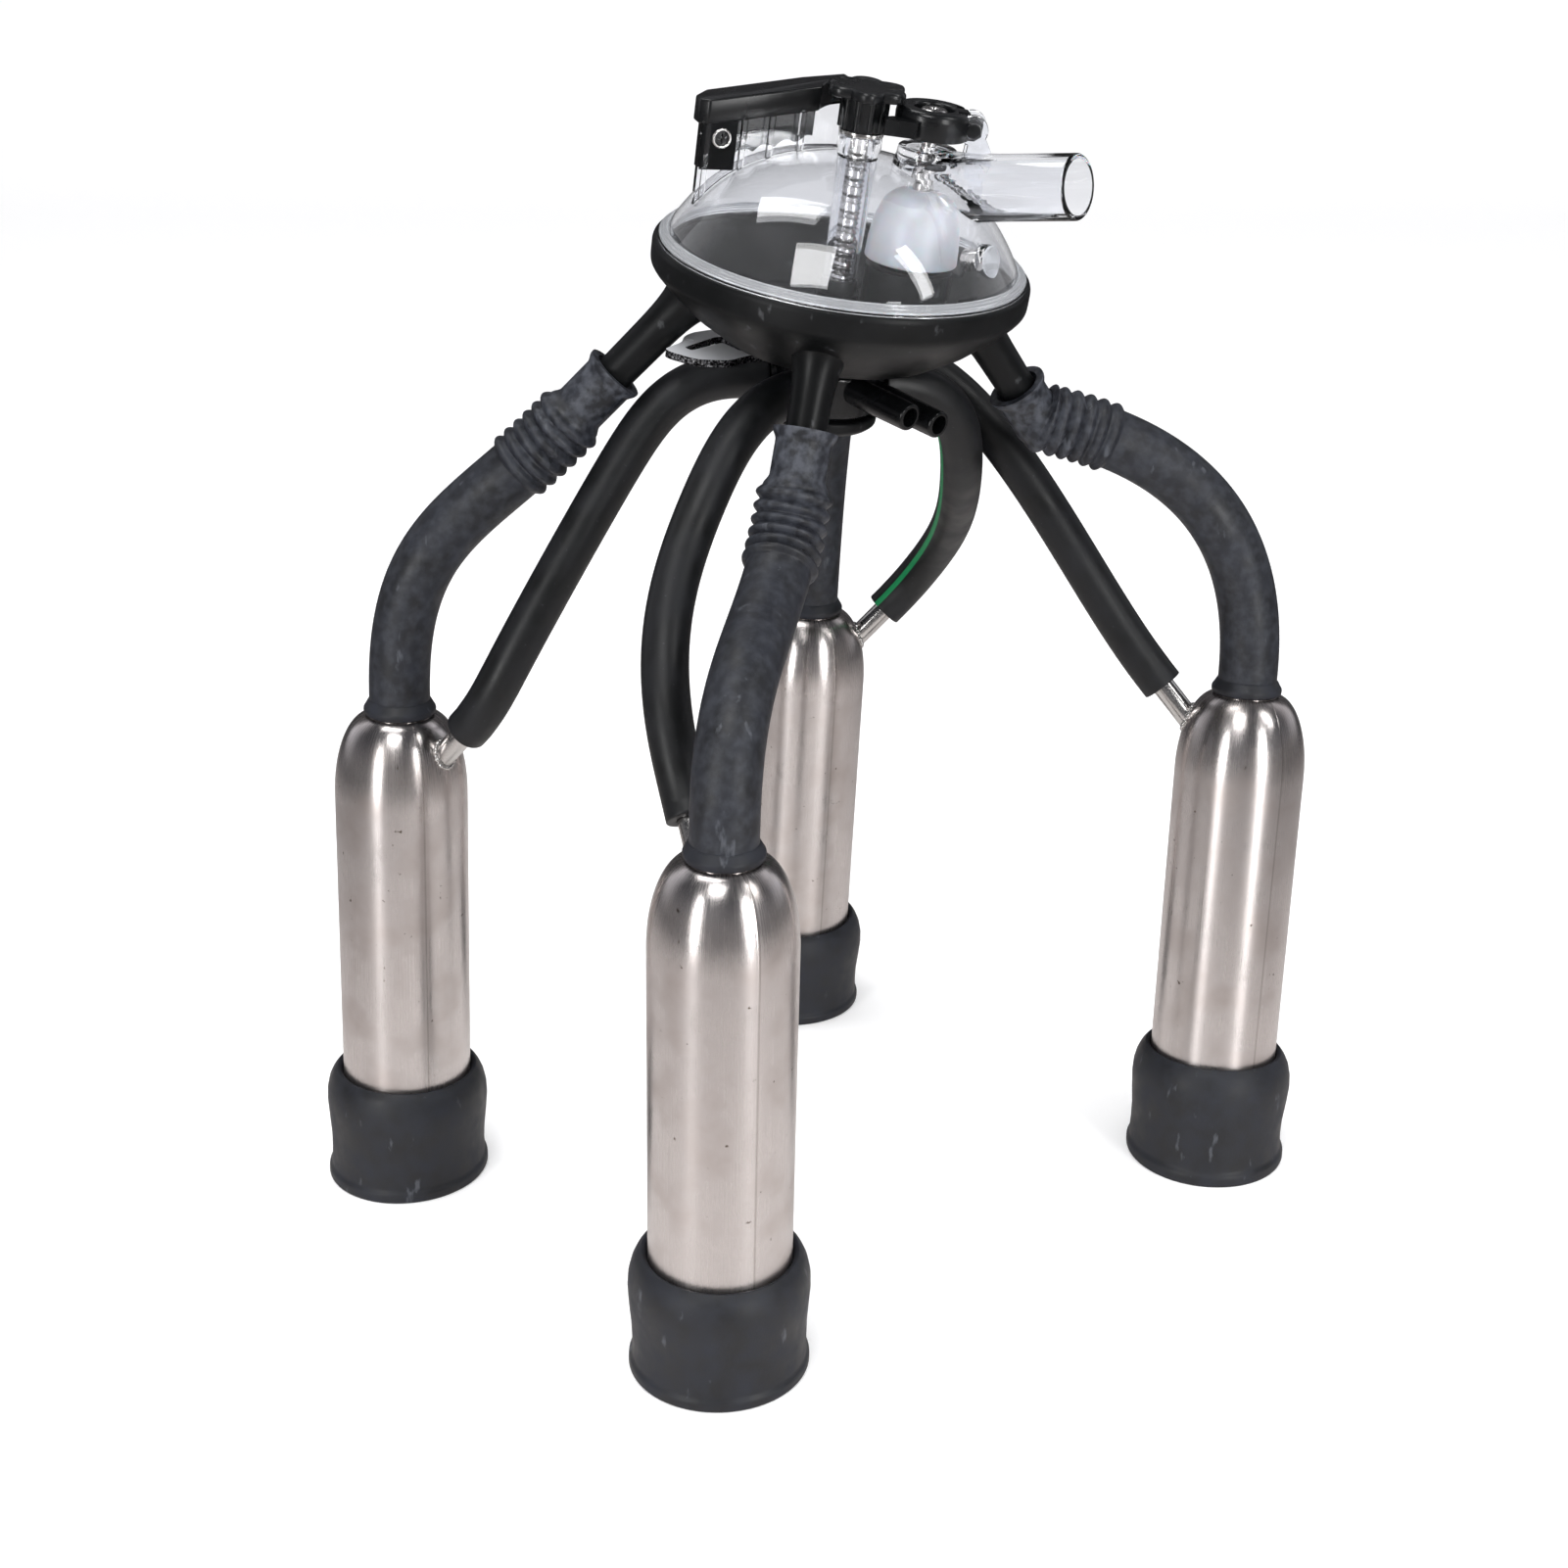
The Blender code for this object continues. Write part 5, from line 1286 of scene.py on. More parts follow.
# %% Lower bowl
RIM_R, BOWL_BOTTOM, BOWL_FLOOR = 60.5, -31.2, -27.0
FLANGE_R = RIM_R - 1.8
SCREW_R = 2.9
INSERT_R, INSERT_FOOT, BOSS_TOP = SCREW_R + 1.7, -22.1, -12.2
BOSS_R = INSERT_R + 2.4
VALVE_X, SEAT_R, SEAT_BORE_R, SEAT_TOP = 21.3, 13.8, 10.2, -0.8
STEPS = 128
bowl_outline = [
    (0.0, -25.4),
    (2.8, -25.4),
    (2.8, BOWL_BOTTOM),
    (28.0, BOWL_BOTTOM),
    (36.0, -28.4),
    (46.5, -21.6),
    (RIM_R - 5.5, -14.2),
    (RIM_R - 1.6, -10.2),
    (RIM_R - 0.1, -8.2),
    (RIM_R, -5.8),
    (RIM_R, -2.0),
    (RIM_R - 0.5, -0.6),
    (FLANGE_R + 0.15, -0.6),
    (FLANGE_R + 0.15, -3.0),
    (FLANGE_R - 3.7, -3.0),
    (54.0, -6.0),
    (49.0, -12.6),
    (41.5, -19.4),
    (38.6, -21.0),
    (38.2, -22.4),
    (33.5, -25.0),
    (28.0, BOWL_FLOOR),
    (BOSS_R + 0.4, BOWL_FLOOR),
    (BOSS_R - 0.3, BOSS_TOP),
    (INSERT_R + 0.1, BOSS_TOP),
    (INSERT_R + 0.1, INSERT_FOOT - GAP),
    (0.0, INSERT_FOOT - GAP),
]
lower = turned("black_lower_bowl", bowl_outline, steps=STEPS, size=1.1)
seat_outline = band(SEAT_BORE_R, SEAT_R, BOWL_FLOOR - 1.5, SEAT_TOP)
joined = [turned("seat", seat_outline, steps=72, centre=(VALVE_X, 0), ring=True, size=0.5)]
drilled = []
for name in FEET:
    root = polar(NOZZLE_ROOT[0], NOZZLE_AZIMUTHS[name], NOZZLE_ROOT[1])
    tip = nozzle_point(name, CUFF_OVERLAPS[name])
    way = (tip - root).normalized()
    long = (tip - root).length
    outline = [(0.0, 1.0), (NOZZLE_R + 4.4, 1.0)]
    outline += [
        (NOZZLE_R + 0.25 + 4.6 * math.exp(-(d - 1.0) / 5.5), d) for d in (3, 5, 7, 9, 11, 13, 16, 20, 25)
    ]
    outline += [(NOZZLE_R, long - 1.0), (NOZZLE_R - 0.4, long), (0.0, long)]
    joined.append(bar("nozzle_" + name, root, root + way, outline, steps=56, size=0.3))
    drilled.append(plug("bore_" + name, root - way * 14, root + way * (long + 2), NOZZLE_BORE_R, steps=40))
for turn in (0, 75, 285):
    middle = (SEAT_TOP - 6.0 + BOWL_FLOOR + 0.6) / 2
    a = Vector((VALVE_X, 0, middle)) + polar(SEAT_BORE_R - 3, turn)
    b = Vector((VALVE_X, 0, middle)) + polar(SEAT_R + 2, turn)
    drilled.append(plug(f"slot_{turn}", a, b, 3.6))
for i, turn in enumerate((150, 215, 330)):
    a, b = polar(BOSS_R - 1, turn, -26.6), polar(37.0, turn, -24.6)
    rib_side = polar(0.8, turn + 90)
    outline = [(p.x, p.y) for p in (a - rib_side, b - rib_side, b + rib_side, a + rib_side)]
    joined.append(slab(f"floor_rib_{i}", outline, -28.0, -24.2))
lower = combine(lower, joined, "UNION")
lower = combine(lower, drilled, "DIFFERENCE")
keep(lower, "base", ["lower_bowl"], "black_plastic", BOWL_BLACK)
print("lower bowl faces:", len(lower.data.polygons))

# %% [markdown]
# ## Clear upper bowl
# The dome is a cap of a sphere with fuller shoulders. The turret over the valve, the outlet,
# the handle's ribbed wall, the lever's eyes and the column round the screw are all one clear
# moulding, so they are joined before anything is hollowed out: then no wall is left inside. The
# turret and the outlet flare into the dome, and those flares give the moulding its swirls.

# %% Dome, column and outlet
DOME_R, DOME_CENTRE, DOME_FULLER, DOME_WALL = 67.9, -36.4, 2.6, 2.2
INNER_R = DOME_R - DOME_WALL
COLUMN_FOOT, COLUMN_TOP, COLUMN_BORE_R = -7.3, 37.6, SCREW_R + 1.3
TURRET_TOP = 36.6
OUTLET_R, OUTLET_BORE_R = 9.8, 8.2


def dome_height(radius, sphere=DOME_R):
    fuller = DOME_FULLER * math.sin(math.pi * min(radius / 56.0, 1.0) ** 2.2)
    return DOME_CENTRE + math.sqrt(max(0.0, sphere**2 - radius**2)) + fuller


outer_radii = [56.0 * math.sin(math.pi / 2 * i / 30) for i in range(31)]
inner_radii = [53.6 * math.sin(math.pi / 2 * i / 30) for i in range(30, -1, -1)]
dome_outline = [(r, dome_height(r)) for r in outer_radii]
for step in range(3):  # the flange falls to the rim in three small steps
    dome_outline += [(56.2 + 0.85 * step, 2.6 - 0.75 * step), (56.85 + 0.85 * step, 2.55 - 0.75 * step)]
dome_outline += [(FLANGE_R, 0.6), (FLANGE_R - 0.4, 0.1), (FLANGE_R, -0.2)]
dome_outline += [(FLANGE_R, -1.2), (54.9, -1.2)]
dome_outline += [(r, dome_height(r, INNER_R)) for r in inner_radii]
upper = turned("clear_upper_bowl", dome_outline, steps=STEPS, size=0.2, sharp=50.0)

outlet_way = Vector(mounts["milk_outlet_end"]["axis"])
outlet_way = (CLAW.to_3x3().transposed() @ outlet_way).normalized()
OUTLET_LENGTH = 56.0
outlet_root = Vector((VALVE_X, 0, 23.5))
outlet_outline = [(0.0, 0.0), (OUTLET_R + 3.0, 0.0)]
outlet_outline += [(OUTLET_R + 5.0 * math.exp(-d / 9.0), d) for d in (6, 9, 12, 15, 18, 21, 24, 28, 32)]
outlet_outline += [(OUTLET_R, OUTLET_LENGTH - 0.5), (OUTLET_R - 0.4, OUTLET_LENGTH), (0.0, OUTLET_LENGTH)]
outlet = bar("outlet", outlet_root, outlet_root + outlet_way, outlet_outline, steps=72, size=0.3)
turret_outline = [(0.0, 12.0), (21.0, 12.0), (17.5, 21.5), (14.0, 25.0), (11.6, 28.0), (10.2, 31.0)]
turret_outline += [(9.5, 34.0), (9.3, TURRET_TOP), (0.0, TURRET_TOP)]
turret = turned("turret", turret_outline, steps=72, centre=(VALVE_X, 0), size=2.0)
print("dome height above the rim in mm:", round(dome_height(0.0), 1))

# %% Handle wall, eyes and plug
HANDLE_LEFT, HANDLE_RIGHT = Vector((-48.6, -9.4, 0)), Vector((-12.5, 4.5, 0))
HANDLE_TOP_LEFT, HANDLE_TOP_RIGHT, HANDLE_WALL = 37.4, 43.6, 2.2
wall_way = (HANDLE_RIGHT - HANDLE_LEFT).normalized()
wall_back = Vector((-wall_way.y, wall_way.x, 0))
WALL_LENGTH = (HANDLE_RIGHT - HANDLE_LEFT).length


def on_wall(along, behind):
    point = HANDLE_LEFT + wall_way * along + wall_back * behind
    return (point.x, point.y)


def wall_top(x, y, extra=0.0):
    along = (Vector((x, y, 0)) - HANDLE_LEFT).dot(wall_way)
    return HANDLE_TOP_LEFT + (HANDLE_TOP_RIGHT - HANDLE_TOP_LEFT) * along / WALL_LENGTH + extra


def strip(along, behind):
    (a, b), (c, d) = along, behind
    return [on_wall(a, c), on_wall(b, c), on_wall(b, d), on_wall(a, d)]


grown = [turret, slab("wall", strip((0.0, WALL_LENGTH + 7.0), (0.0, HANDLE_WALL)), 2.0, wall_top)]
for i, along in enumerate((1.2, 12.6, 21.5, 31.5)):
    rib = strip((along, along + 1.6), (-1.8 if i else -0.9, 1.0))
    grown.append(slab(f"wall_rib_{i}", rib, 2.0, lambda x, y: wall_top(x, y, -0.4)))
PIN_X, PIN_Z, PIN_R, EYE_R = VALVE_X + 12.5, 44.0, 2.3, 4.6
lug_outline = [(-2.2, 16.0), (6.7, 16.0), (7.2, 37.0), (4.2, 42.0), (-0.8, 42.5)]
for i, (near, far) in enumerate(((-4.8, -2.6), (2.6, 4.8))):
    loops = [[(PIN_X + x, y, z) for x, z in lug_outline] for y in (near, far)]
    grown.append(skin(f"lug_{i}", loops, CLAW, caps=True))
    start = Vector((PIN_X, near, PIN_Z))
    eye_outline = band(0.0, EYE_R, 0.0, far - near)
    grown.append(bar(f"eye_{i}", start, start + Vector((0, 1, 0)), eye_outline, size=0.4))
plug_way = Vector((0.80, -0.56, 0.22)).normalized()
plug_at = Vector((41.6, -25.5, 10.5))
plug_outline = band(0.0, 5.2, 0.0, 10.6)
plug_start = plug_at - plug_way * 9
grown.append(bar("side_plug", plug_start, plug_start + plug_way, plug_outline, size=0.5))
print("handle wall in mm:", round(WALL_LENGTH, 1))

# %% Join and hollow the clear bowl
void = [(0.0, -12.0), (55.5, -12.0), (55.5, -2.0)]
void += [(r, dome_height(r, INNER_R + 0.35)) for r in inner_radii if r < 54.0]
inside = turned("void", void, steps=STEPS, size=0.0)
outlet = combine(outlet, grown, "UNION")
outlet = combine(outlet, [inside], "DIFFERENCE")
column_outline = [(0.0, COLUMN_FOOT), (5.3, COLUMN_FOOT), (6.2, COLUMN_TOP - 6)]
column_outline += [(7.0, COLUMN_TOP - 3.5), (6.8, COLUMN_TOP), (0.0, COLUMN_TOP)]
column = turned("column", column_outline, steps=64, size=0.6)
upper = combine(upper, [outlet, column], "UNION")
AXIS = Vector((0, 0, 1))
valve_at = Vector((VALVE_X, 0, 0))
chamber_outline = [(0.0, 17.0), (9.5, 17.0), (9.0, 24.0), (7.2, 29.0), (6.8, 33.2), (0.0, 33.2)]
cuts = [
    plug("column_bore", (0, 0, COLUMN_FOOT - 3), (0, 0, COLUMN_TOP + 3), COLUMN_BORE_R),
    turned("chamber", chamber_outline, steps=64, centre=(VALVE_X, 0), size=0.8),
    plug("stem_bore", valve_at + AXIS * 30, valve_at + AXIS * 40, 2.8),
    plug(
        "outlet_bore",
        outlet_root + outlet_way * 3,
        outlet_root + outlet_way * (OUTLET_LENGTH + 3),
        OUTLET_BORE_R,
        steps=72,
    ),
    plug("pin_bore", (PIN_X, -8, PIN_Z), (PIN_X, 8, PIN_Z), PIN_R + 0.15),
]
gap_outline = [(PIN_X - 6.8, 42.6), (PIN_X, 42.6), (PIN_X, 45.6), (PIN_X - 6.8, 45.6)]
gap_loops = [[(x, y, z) for x, z in gap_outline] for y in (-6.0, 6.0)]
cuts.append(skin("eye_gap", gap_loops, CLAW, caps=True))
RIVET_Z, RIVET_ALONG = 32.4, 6.6
rivet_front = Vector((*on_wall(RIVET_ALONG, -6.0), RIVET_Z))
rivet_back = Vector((*on_wall(RIVET_ALONG, 8.0), RIVET_Z))
cuts.append(plug("rivet_hole", rivet_front, rivet_back, 1.6, steps=24))
upper = combine(upper, cuts, "DIFFERENCE")
keep(upper, "bowl_top", ["upper_bowl"], "clear_plastic", CLEAR, FROSTED)
to_claw = CLAW.inverted()
for face in upper.data.polygons:
    centre = to_claw @ (face.center / MM)
    face.material_index = 1 if centre.xy.length > 55.9 and 0.0 < centre.z < 2.7 else 0
upper.visible_shadow = False  # light reaches the bell and the bowl as if the plastic weren't there
face_outline = [(0.0, 0.0), (4.6, 0.0), (5.0, 0.4), (5.0, 0.9), (4.4, 1.1), (4.0, 0.8), (0.0, 0.8)]
face_at = plug_at + plug_way * 1.65
plug_face = bar("side_plug_face", face_at, face_at + plug_way, face_outline, size=0.2)
keep(plug_face, "bowl_top", [], "clear_plastic", FROSTED)
stub_outline = band(0.0, 3.3, 0.0, 5.2)
stub_at = plug_at - plug_way * 7.6
stub = bar("side_plug_stub", stub_at, stub_at + plug_way, stub_outline, size=0.4)
keep(stub, "bowl_top", [], "fitting_steel", FITTING_STEEL)
print("clear bowl faces:", len(upper.data.polygons))

# %% [markdown]
# ## Handle cover
# A black strip sits on the clear wall, and its skirt hangs behind the wall and shows through it.
# The skirt's lower edge is scalloped, and one rivet holds it at the left end. Round the rivet a
# thin tab laps over the front of the wall, so that the rivet stands on black.

# %% Handle cover and rivet
COVER_HEIGHT, COVER_DEPTH = 6.2, 11.0
cover_outline = [
    on_wall(-0.8, 1.6),
    on_wall(1.4, -0.9),
    on_wall(WALL_LENGTH - 1.2, -0.9),
    *[(14.4 * math.cos(math.radians(a)), 14.4 * math.sin(math.radians(a))) for a in range(160, 109, -5)],
    (-6.6, 17.6),
    on_wall(WALL_LENGTH - 3.0, COVER_DEPTH + 1.0),
    on_wall(4.0, COVER_DEPTH),
    on_wall(-0.8, COVER_DEPTH - 4.5),
]
cover = slab(
    "black_handle_cover",
    cover_outline,
    lambda x, y: wall_top(x, y, -1.3),
    lambda x, y: wall_top(x, y, COVER_HEIGHT),
)
edge = cover.modifiers.new("edges", "BEVEL")
edge.width = 0.7 * MM
edge.segments = 3
cover = baked(cover)
SCALLOPS = 4


def skirt_foot(along):
    """The skirt's lower edge: rising to the right, with round scallops past the rivet's tab."""
    base = 24.0 + 9.2 * along / WALL_LENGTH
    if along < 11.0:
        return base - 1.2
    return base + 1.6 * abs(math.sin(math.pi * SCALLOPS * (along - 11.0) / (WALL_LENGTH - 11.0)))


spans = [0.4 + (WALL_LENGTH - 2.0) * i / 96 for i in range(97)]
skirt_loops = []
for along in spans:
    front, back = on_wall(along, HANDLE_WALL + 0.15), on_wall(along, HANDLE_WALL + 2.3)
    top = wall_top(*front, 2.0)
    foot = skirt_foot(along)
    skirt_loops.append([(*front, foot), (*front, top), (*back, top), (*back, foot)])
skirt = skin("handle_cover_skirt", skirt_loops, CLAW, caps=True)
skirt = combine(skirt, [plug("rivet_hole", rivet_front, rivet_back, 1.6, steps=24)], "DIFFERENCE")
keep(cover, "bowl_top", ["handle_cover"], "black_plastic", GLOSS_BLACK)
keep(skirt, "bowl_top", [], "black_plastic", MATT_BLACK)
TAB_LENGTH, TAB_FRONT, TAB_BACK = 11.5, -0.45, -0.1
tab_loops = []
for along in (0.3, TAB_LENGTH):
    front, back = on_wall(along, TAB_FRONT), on_wall(along, TAB_BACK)
    top, foot = wall_top(*front, -1.0), skirt_foot(0.0)
    tab_loops.append([(*front, foot), (*front, top), (*back, top), (*back, foot)])
tab = skin("handle_cover_tab", tab_loops, CLAW, caps=True)
tab = combine(tab, [plug("rivet_hole", rivet_front, rivet_back, 3.25, steps=32)], "DIFFERENCE")
keep(tab, "bowl_top", [], "black_plastic", MATT_BLACK)
rivet_face = Vector((*on_wall(RIVET_ALONG, 0.0), RIVET_Z))
rivet_outline = [
    (0.0, -0.5),
    (2.2, -0.5),
    (2.35, -0.9),
    (3.0, -0.9),
    (3.2, -0.5),
    (3.2, -0.1),
    (1.5, -0.1),
    (1.5, HANDLE_WALL + 2.7),
    (2.6, HANDLE_WALL + 2.7),
    (2.6, HANDLE_WALL + 3.4),
    (0.0, HANDLE_WALL + 3.4),
]
rivet = bar("cover_rivet_head", rivet_face, rivet_face + wall_back, rivet_outline, steps=40, size=0.25)
cross = []
for lift in (0.0, 90.0):
    arm = Matrix.Rotation(math.radians(lift), 3, wall_back) @ wall_way
    rise = wall_back.cross(arm)
    middle = rivet_face - wall_back * 1.0
    loops = [
        [
            middle + arm * x + rise * z + wall_back * deep
            for x, z in ((-1.5, -0.3), (1.5, -0.3), (1.5, 0.3), (-1.5, 0.3))
        ]
        for deep in (-0.5, 1.4)
    ]
    cross.append(skin("cross", loops, CLAW, caps=True))
rivet = combine(rivet, cross, "DIFFERENCE")
keep(rivet, "bowl_top", ["cover_rivet"], "fitting_steel", FITTING_STEEL, GLOSS_BLACK)
for face in rivet.data.polygons:
    out = (to_claw @ (face.center / MM) - rivet_face).cross(wall_back).length
    face.material_index = 1 if out < 2.3 else 0
print("skirt, tab and rivet faces:", [len(part.data.polygons) for part in (skirt, tab, rivet)])

# %% [markdown]
# ## Knob, screw and thread
# The knob has six soft lobes and a ribbed hub. A lobed outline is a circle whose radius swings
# with a cosine, and stacking it at slightly smaller sizes rounds its edges. The screw's thread is
# a ridge wound by the thread tree, which shows through the clear column.

# %% Knob and clamp screw
KNOB_R, KNOB_VALLEY_R, KNOB_LOBES, KNOB_TOP, KNOB_PLATE = 13.0, 10.2, 6, 52.6, 3.3
HUB_R, HUB_FOOT = 7.7, COLUMN_TOP + 1.6
knob_foot = KNOB_TOP - KNOB_PLATE


def lobes(inset, z):
    loop = []
    for i in range(144):
        turn = 2 * math.pi * i / 144
        swing = (0.5 - 0.5 * math.cos(KNOB_LOBES * turn)) ** 0.6
        radius = KNOB_VALLEY_R + (KNOB_R - KNOB_VALLEY_R) * swing - inset
        loop.append((radius * math.cos(turn), radius * math.sin(turn), z))
    return loop


knob_levels = [(0.7, 0.0), (0.2, 0.2), (0.0, 0.7), (0.0, KNOB_PLATE - 1.1), (0.15, KNOB_PLATE - 0.55)]
knob_levels += [(0.55, KNOB_PLATE - 0.15), (1.3, KNOB_PLATE), (2.6, KNOB_PLATE - 0.05)]
knob_levels += [(3.2, KNOB_PLATE - 0.35), (5.0, KNOB_PLATE - 0.45)]
knob = skin("black_knob", [lobes(inset, knob_foot + z) for inset, z in knob_levels], CLAW, caps=True)
hub_outline = [(0.0, HUB_FOOT), (HUB_R - 0.9, HUB_FOOT), (HUB_R - 0.5, knob_foot + 1), (0.0, knob_foot + 1)]
hub = turned("hub", hub_outline, steps=72, size=0.4)
ribs = run_tree(
    "hub_ribs",
    RING,
    {"Count": 10, "Ring": (HUB_R - 1.1) * MM, "Rib": 1.1 * MM, "Tall": (knob_foot - HUB_FOOT) * MM},
    place=CLAW @ Matrix.Translation((0, 0, (knob_foot + HUB_FOOT) / 2 + 0.3)),
)
knob = combine(knob, [hub, ribs], "UNION")
tap = plug("tap", (0, 0, HUB_FOOT - 3), (0, 0, KNOB_TOP - 4.6), SCREW_R + 0.1)
knob = combine(knob, [tap], "DIFFERENCE")
keep(knob, "clamp_knob", ["knob"], "black_plastic", GLOSS_BLACK)
SCREW_TIP = -20.5
screw_outline = [
    (0.0, SCREW_TIP),
    (SCREW_R - 1.0, SCREW_TIP),
    (SCREW_R, SCREW_TIP + 1.2),
    (SCREW_R, KNOB_TOP - 5.0),
    (0.0, KNOB_TOP - 5.0),
]
screw = turned("steel_clamp_screw", screw_outline, steps=48, size=0.3)
PITCH = 1.5
THREAD_LOW, THREAD_HIGH = -18.8, 33.0
thread = run_tree(
    "clamp_screw_thread",
    THREAD,
    {
        "Radius": (SCREW_R + 0.05) * MM,
        "Height": (THREAD_HIGH - THREAD_LOW) * MM,
        "Turns": (THREAD_HIGH - THREAD_LOW) / PITCH,
        "Ridge": 0.55 * MM,
    },
    place=CLAW @ Matrix.Translation((0, 0, THREAD_LOW)),
)
keep(screw, "clamp_knob", ["clamp_screw"], "fitting_steel", FITTING_STEEL)
keep(thread, "clamp_knob", [], "fitting_steel")
print("thread turns:", round((THREAD_HIGH - THREAD_LOW) / PITCH, 1))

# %% [markdown]
# ## Valve
# A silicone bell closes the seat when the lever's ring is pressed down. The bell hangs from a
# steel stem whose head sits in the ring. The ring has a recessed web, a tongue that turns on the
# black pin, and a tab for the thumb at the front.

# %% Stem, bell and lever
STEM_R, HEAD_FOOT = 2.4, 46.4
stem_outline = [(0.0, 17.8), (4.8, 17.8), (4.8, 19.4), (2.9, 19.8), (2.9, 24.6), (STEM_R, 25.0)]
stem_outline += [(STEM_R, HEAD_FOOT), (4.2, HEAD_FOOT), (4.2, 47.7), (3.4, 48.3)]
stem_outline += [(1.5, 48.3), (1.2, 47.6), (0.0, 47.6)]
stem = turned("steel_valve_stem", stem_outline, steps=48, centre=(VALVE_X, 0), size=0.25)
keep(stem, "valve", ["valve_stem"], "fitting_steel", FITTING_STEEL)
bell_outline = [
    (STEM_R + 0.15, 22.8),
    (6.0, 22.3),
    (8.4, 21.4),
    (10.4, 19.9),
    (12.0, 17.6),
    (13.1, 14.8),
    (13.9, 11.4),
    (14.4, 7.5),
    (14.7, 1.8),
    (14.4, 1.4),
    (13.0, 1.4),
    (12.6, 6.0),
    (12.1, 11.4),
    (11.2, 14.6),
    (8.6, 18.4),
    (5.6, 19.9),
    (STEM_R + 0.15, 19.9),
]
bell = turned("silicone_bell", bell_outline, steps=96, centre=(VALVE_X, 0), ring=True, size=1.0, sharp=50)
keep(bell, "valve", ["valve_bell"], "white_silicone", SILICONE)
RING_R, RING_HOLE_R, RING_FOOT, RING_TOP, WEB_FOOT, WEB_TOP = 11.8, 6.4, 40.2, 48.8, 43.6, 45.2
ring_outline = [
    (3.6, WEB_FOOT),
    (RING_HOLE_R, WEB_FOOT),
    (RING_HOLE_R, RING_FOOT),
    (RING_R - 0.3, RING_FOOT),
    (RING_R, RING_TOP - 2.4),
    (RING_R - 0.3, RING_TOP - 0.9),
    (RING_R - 1.2, RING_TOP),
    (RING_HOLE_R + 0.6, RING_TOP),
    (RING_HOLE_R, RING_TOP - 0.6),
    (RING_HOLE_R, WEB_TOP),
    (3.6, WEB_TOP),
]
lever = turned("black_valve_lever", ring_outline, steps=96, centre=(VALVE_X, 0), ring=True, size=0.5)
jaws = []
for low_y, high_y in ((-5.3, -2.2), (2.2, 5.3)):
    near, far = PIN_X - 5.4, PIN_X + 6.2
    jaws.append(slab("jaw", [(near, low_y), (far, low_y), (far, high_y), (near, high_y)], 38.0, 51.0))
lever = combine(lever, jaws, "DIFFERENCE")
tongue_outline = [(-5.9, 40.6), (0.8, 40.6), (2.8, 42.2), (2.8, 45.8), (0.8, 47.4), (-5.9, 47.4)]
tongue_loops = [[(PIN_X + x, y, z) for x, z in tongue_outline] for y in (-2.2, 2.2)]
tab_outline = [(-15.1, -12.4), (-5.3, -12.4), (-5.3, -6.6), (-12.7, -6.6), (-15.1, -8.6)]
tab = slab("tab", [(VALVE_X + x, y) for x, y in tab_outline], 41.0, 45.8)
lever = combine(lever, [skin("tongue", tongue_loops, CLAW, caps=True), tab], "UNION")
clear_hole = plug("hole", valve_at + AXIS * 38, valve_at + AXIS * WEB_FOOT, RING_HOLE_R - 0.05, steps=96)
pin_hole = plug("pin_hole", (PIN_X, -8, PIN_Z), (PIN_X, 8, PIN_Z), PIN_R + 0.15)
lever = combine(lever, [clear_hole, pin_hole], "DIFFERENCE")
keep(lever, "lever", ["valve_lever"], "black_plastic", GLOSS_BLACK)
pin_outline = band(0.0, PIN_R, 0.0, 11.6)
pin_start = Vector((PIN_X, -5.8, PIN_Z))
pin = bar("black_lever_pin", pin_start, pin_start + Vector((0, 1, 0)), pin_outline, size=0.5)
keep(pin, "bowl_top", ["lever_pin"], "fitting_steel", GLOSS_BLACK)
print("lever faces:", len(lever.data.polygons))

# %% [markdown]
# ## Distributor and hook
# Under the bowl, a small black body shares the pulsing vacuum between the four tubes. Its two
# long pipes take the twin hose. A polished plate above it sticks out to the left, with a bent
# slot to hang the cluster by. Its faces are painted near white as a bright reflection, and its
# cut edges are painted dark as shade, so each gets a finish of its own.

# %% Hook plate
PLATE_TOP, PLATE_THICK = BOWL_BOTTOM - GAP, 2.4
plate_outline = [(4.0, -15.0), (12.5, -8.5), (15.0, 0.0), (12.5, 8.5), (4.0, 15.0), (-6.0, 14.5)]
plate_outline += [(-16.0, 9.5), (-27.0, 7.0), (-38.0, 4.8), (-44.5, -1.0), (-47.0, -6.0), (-47.4, -12.0)]
plate_outline += [(-50.8, -17.5), (-52.4, -20.3), (-50.5, -22.6), (-42.0, -26.6), (-31.5, -23.4)]
plate_outline += [(-25.5, -16.0), (-16.0, -10.0), (-6.0, -14.5)]
plate_outline = softened([(x + 100.0, y) for x, y in plate_outline], 3.0, ring=True, steps=5)
plate_outline = [(x - 100.0, y) for x, y in plate_outline]
plate = slab("polished_hook_plate", plate_outline, PLATE_TOP - PLATE_THICK, PLATE_TOP)
slot_outline = [(-46.4, -16.6), (-44.0, -18.6), (-34.6, -7.2), (-28.6, -13.0), (-26.2, -10.6)]
slot_outline += [(-34.4, -1.4), (-37.0, -2.6)]
slot_outline = softened([(x + 100.0, y) for x, y in slot_outline], 1.2, ring=True, steps=4)
slot = slab("slot", [(x - 100.0, y) for x, y in slot_outline], PLATE_TOP - 6, PLATE_TOP + 3)
hole = plug("hole", (0, 0, PLATE_TOP - 6), (0, 0, PLATE_TOP + 3), 3.0)
plate = combine(plate, [slot, hole], "DIFFERENCE")
keep(plate, "base", ["hook_plate"], "polished_steel", PLATE_PAINTED_REFLECTION, PLATE_EDGE_PAINTED_SHADE)
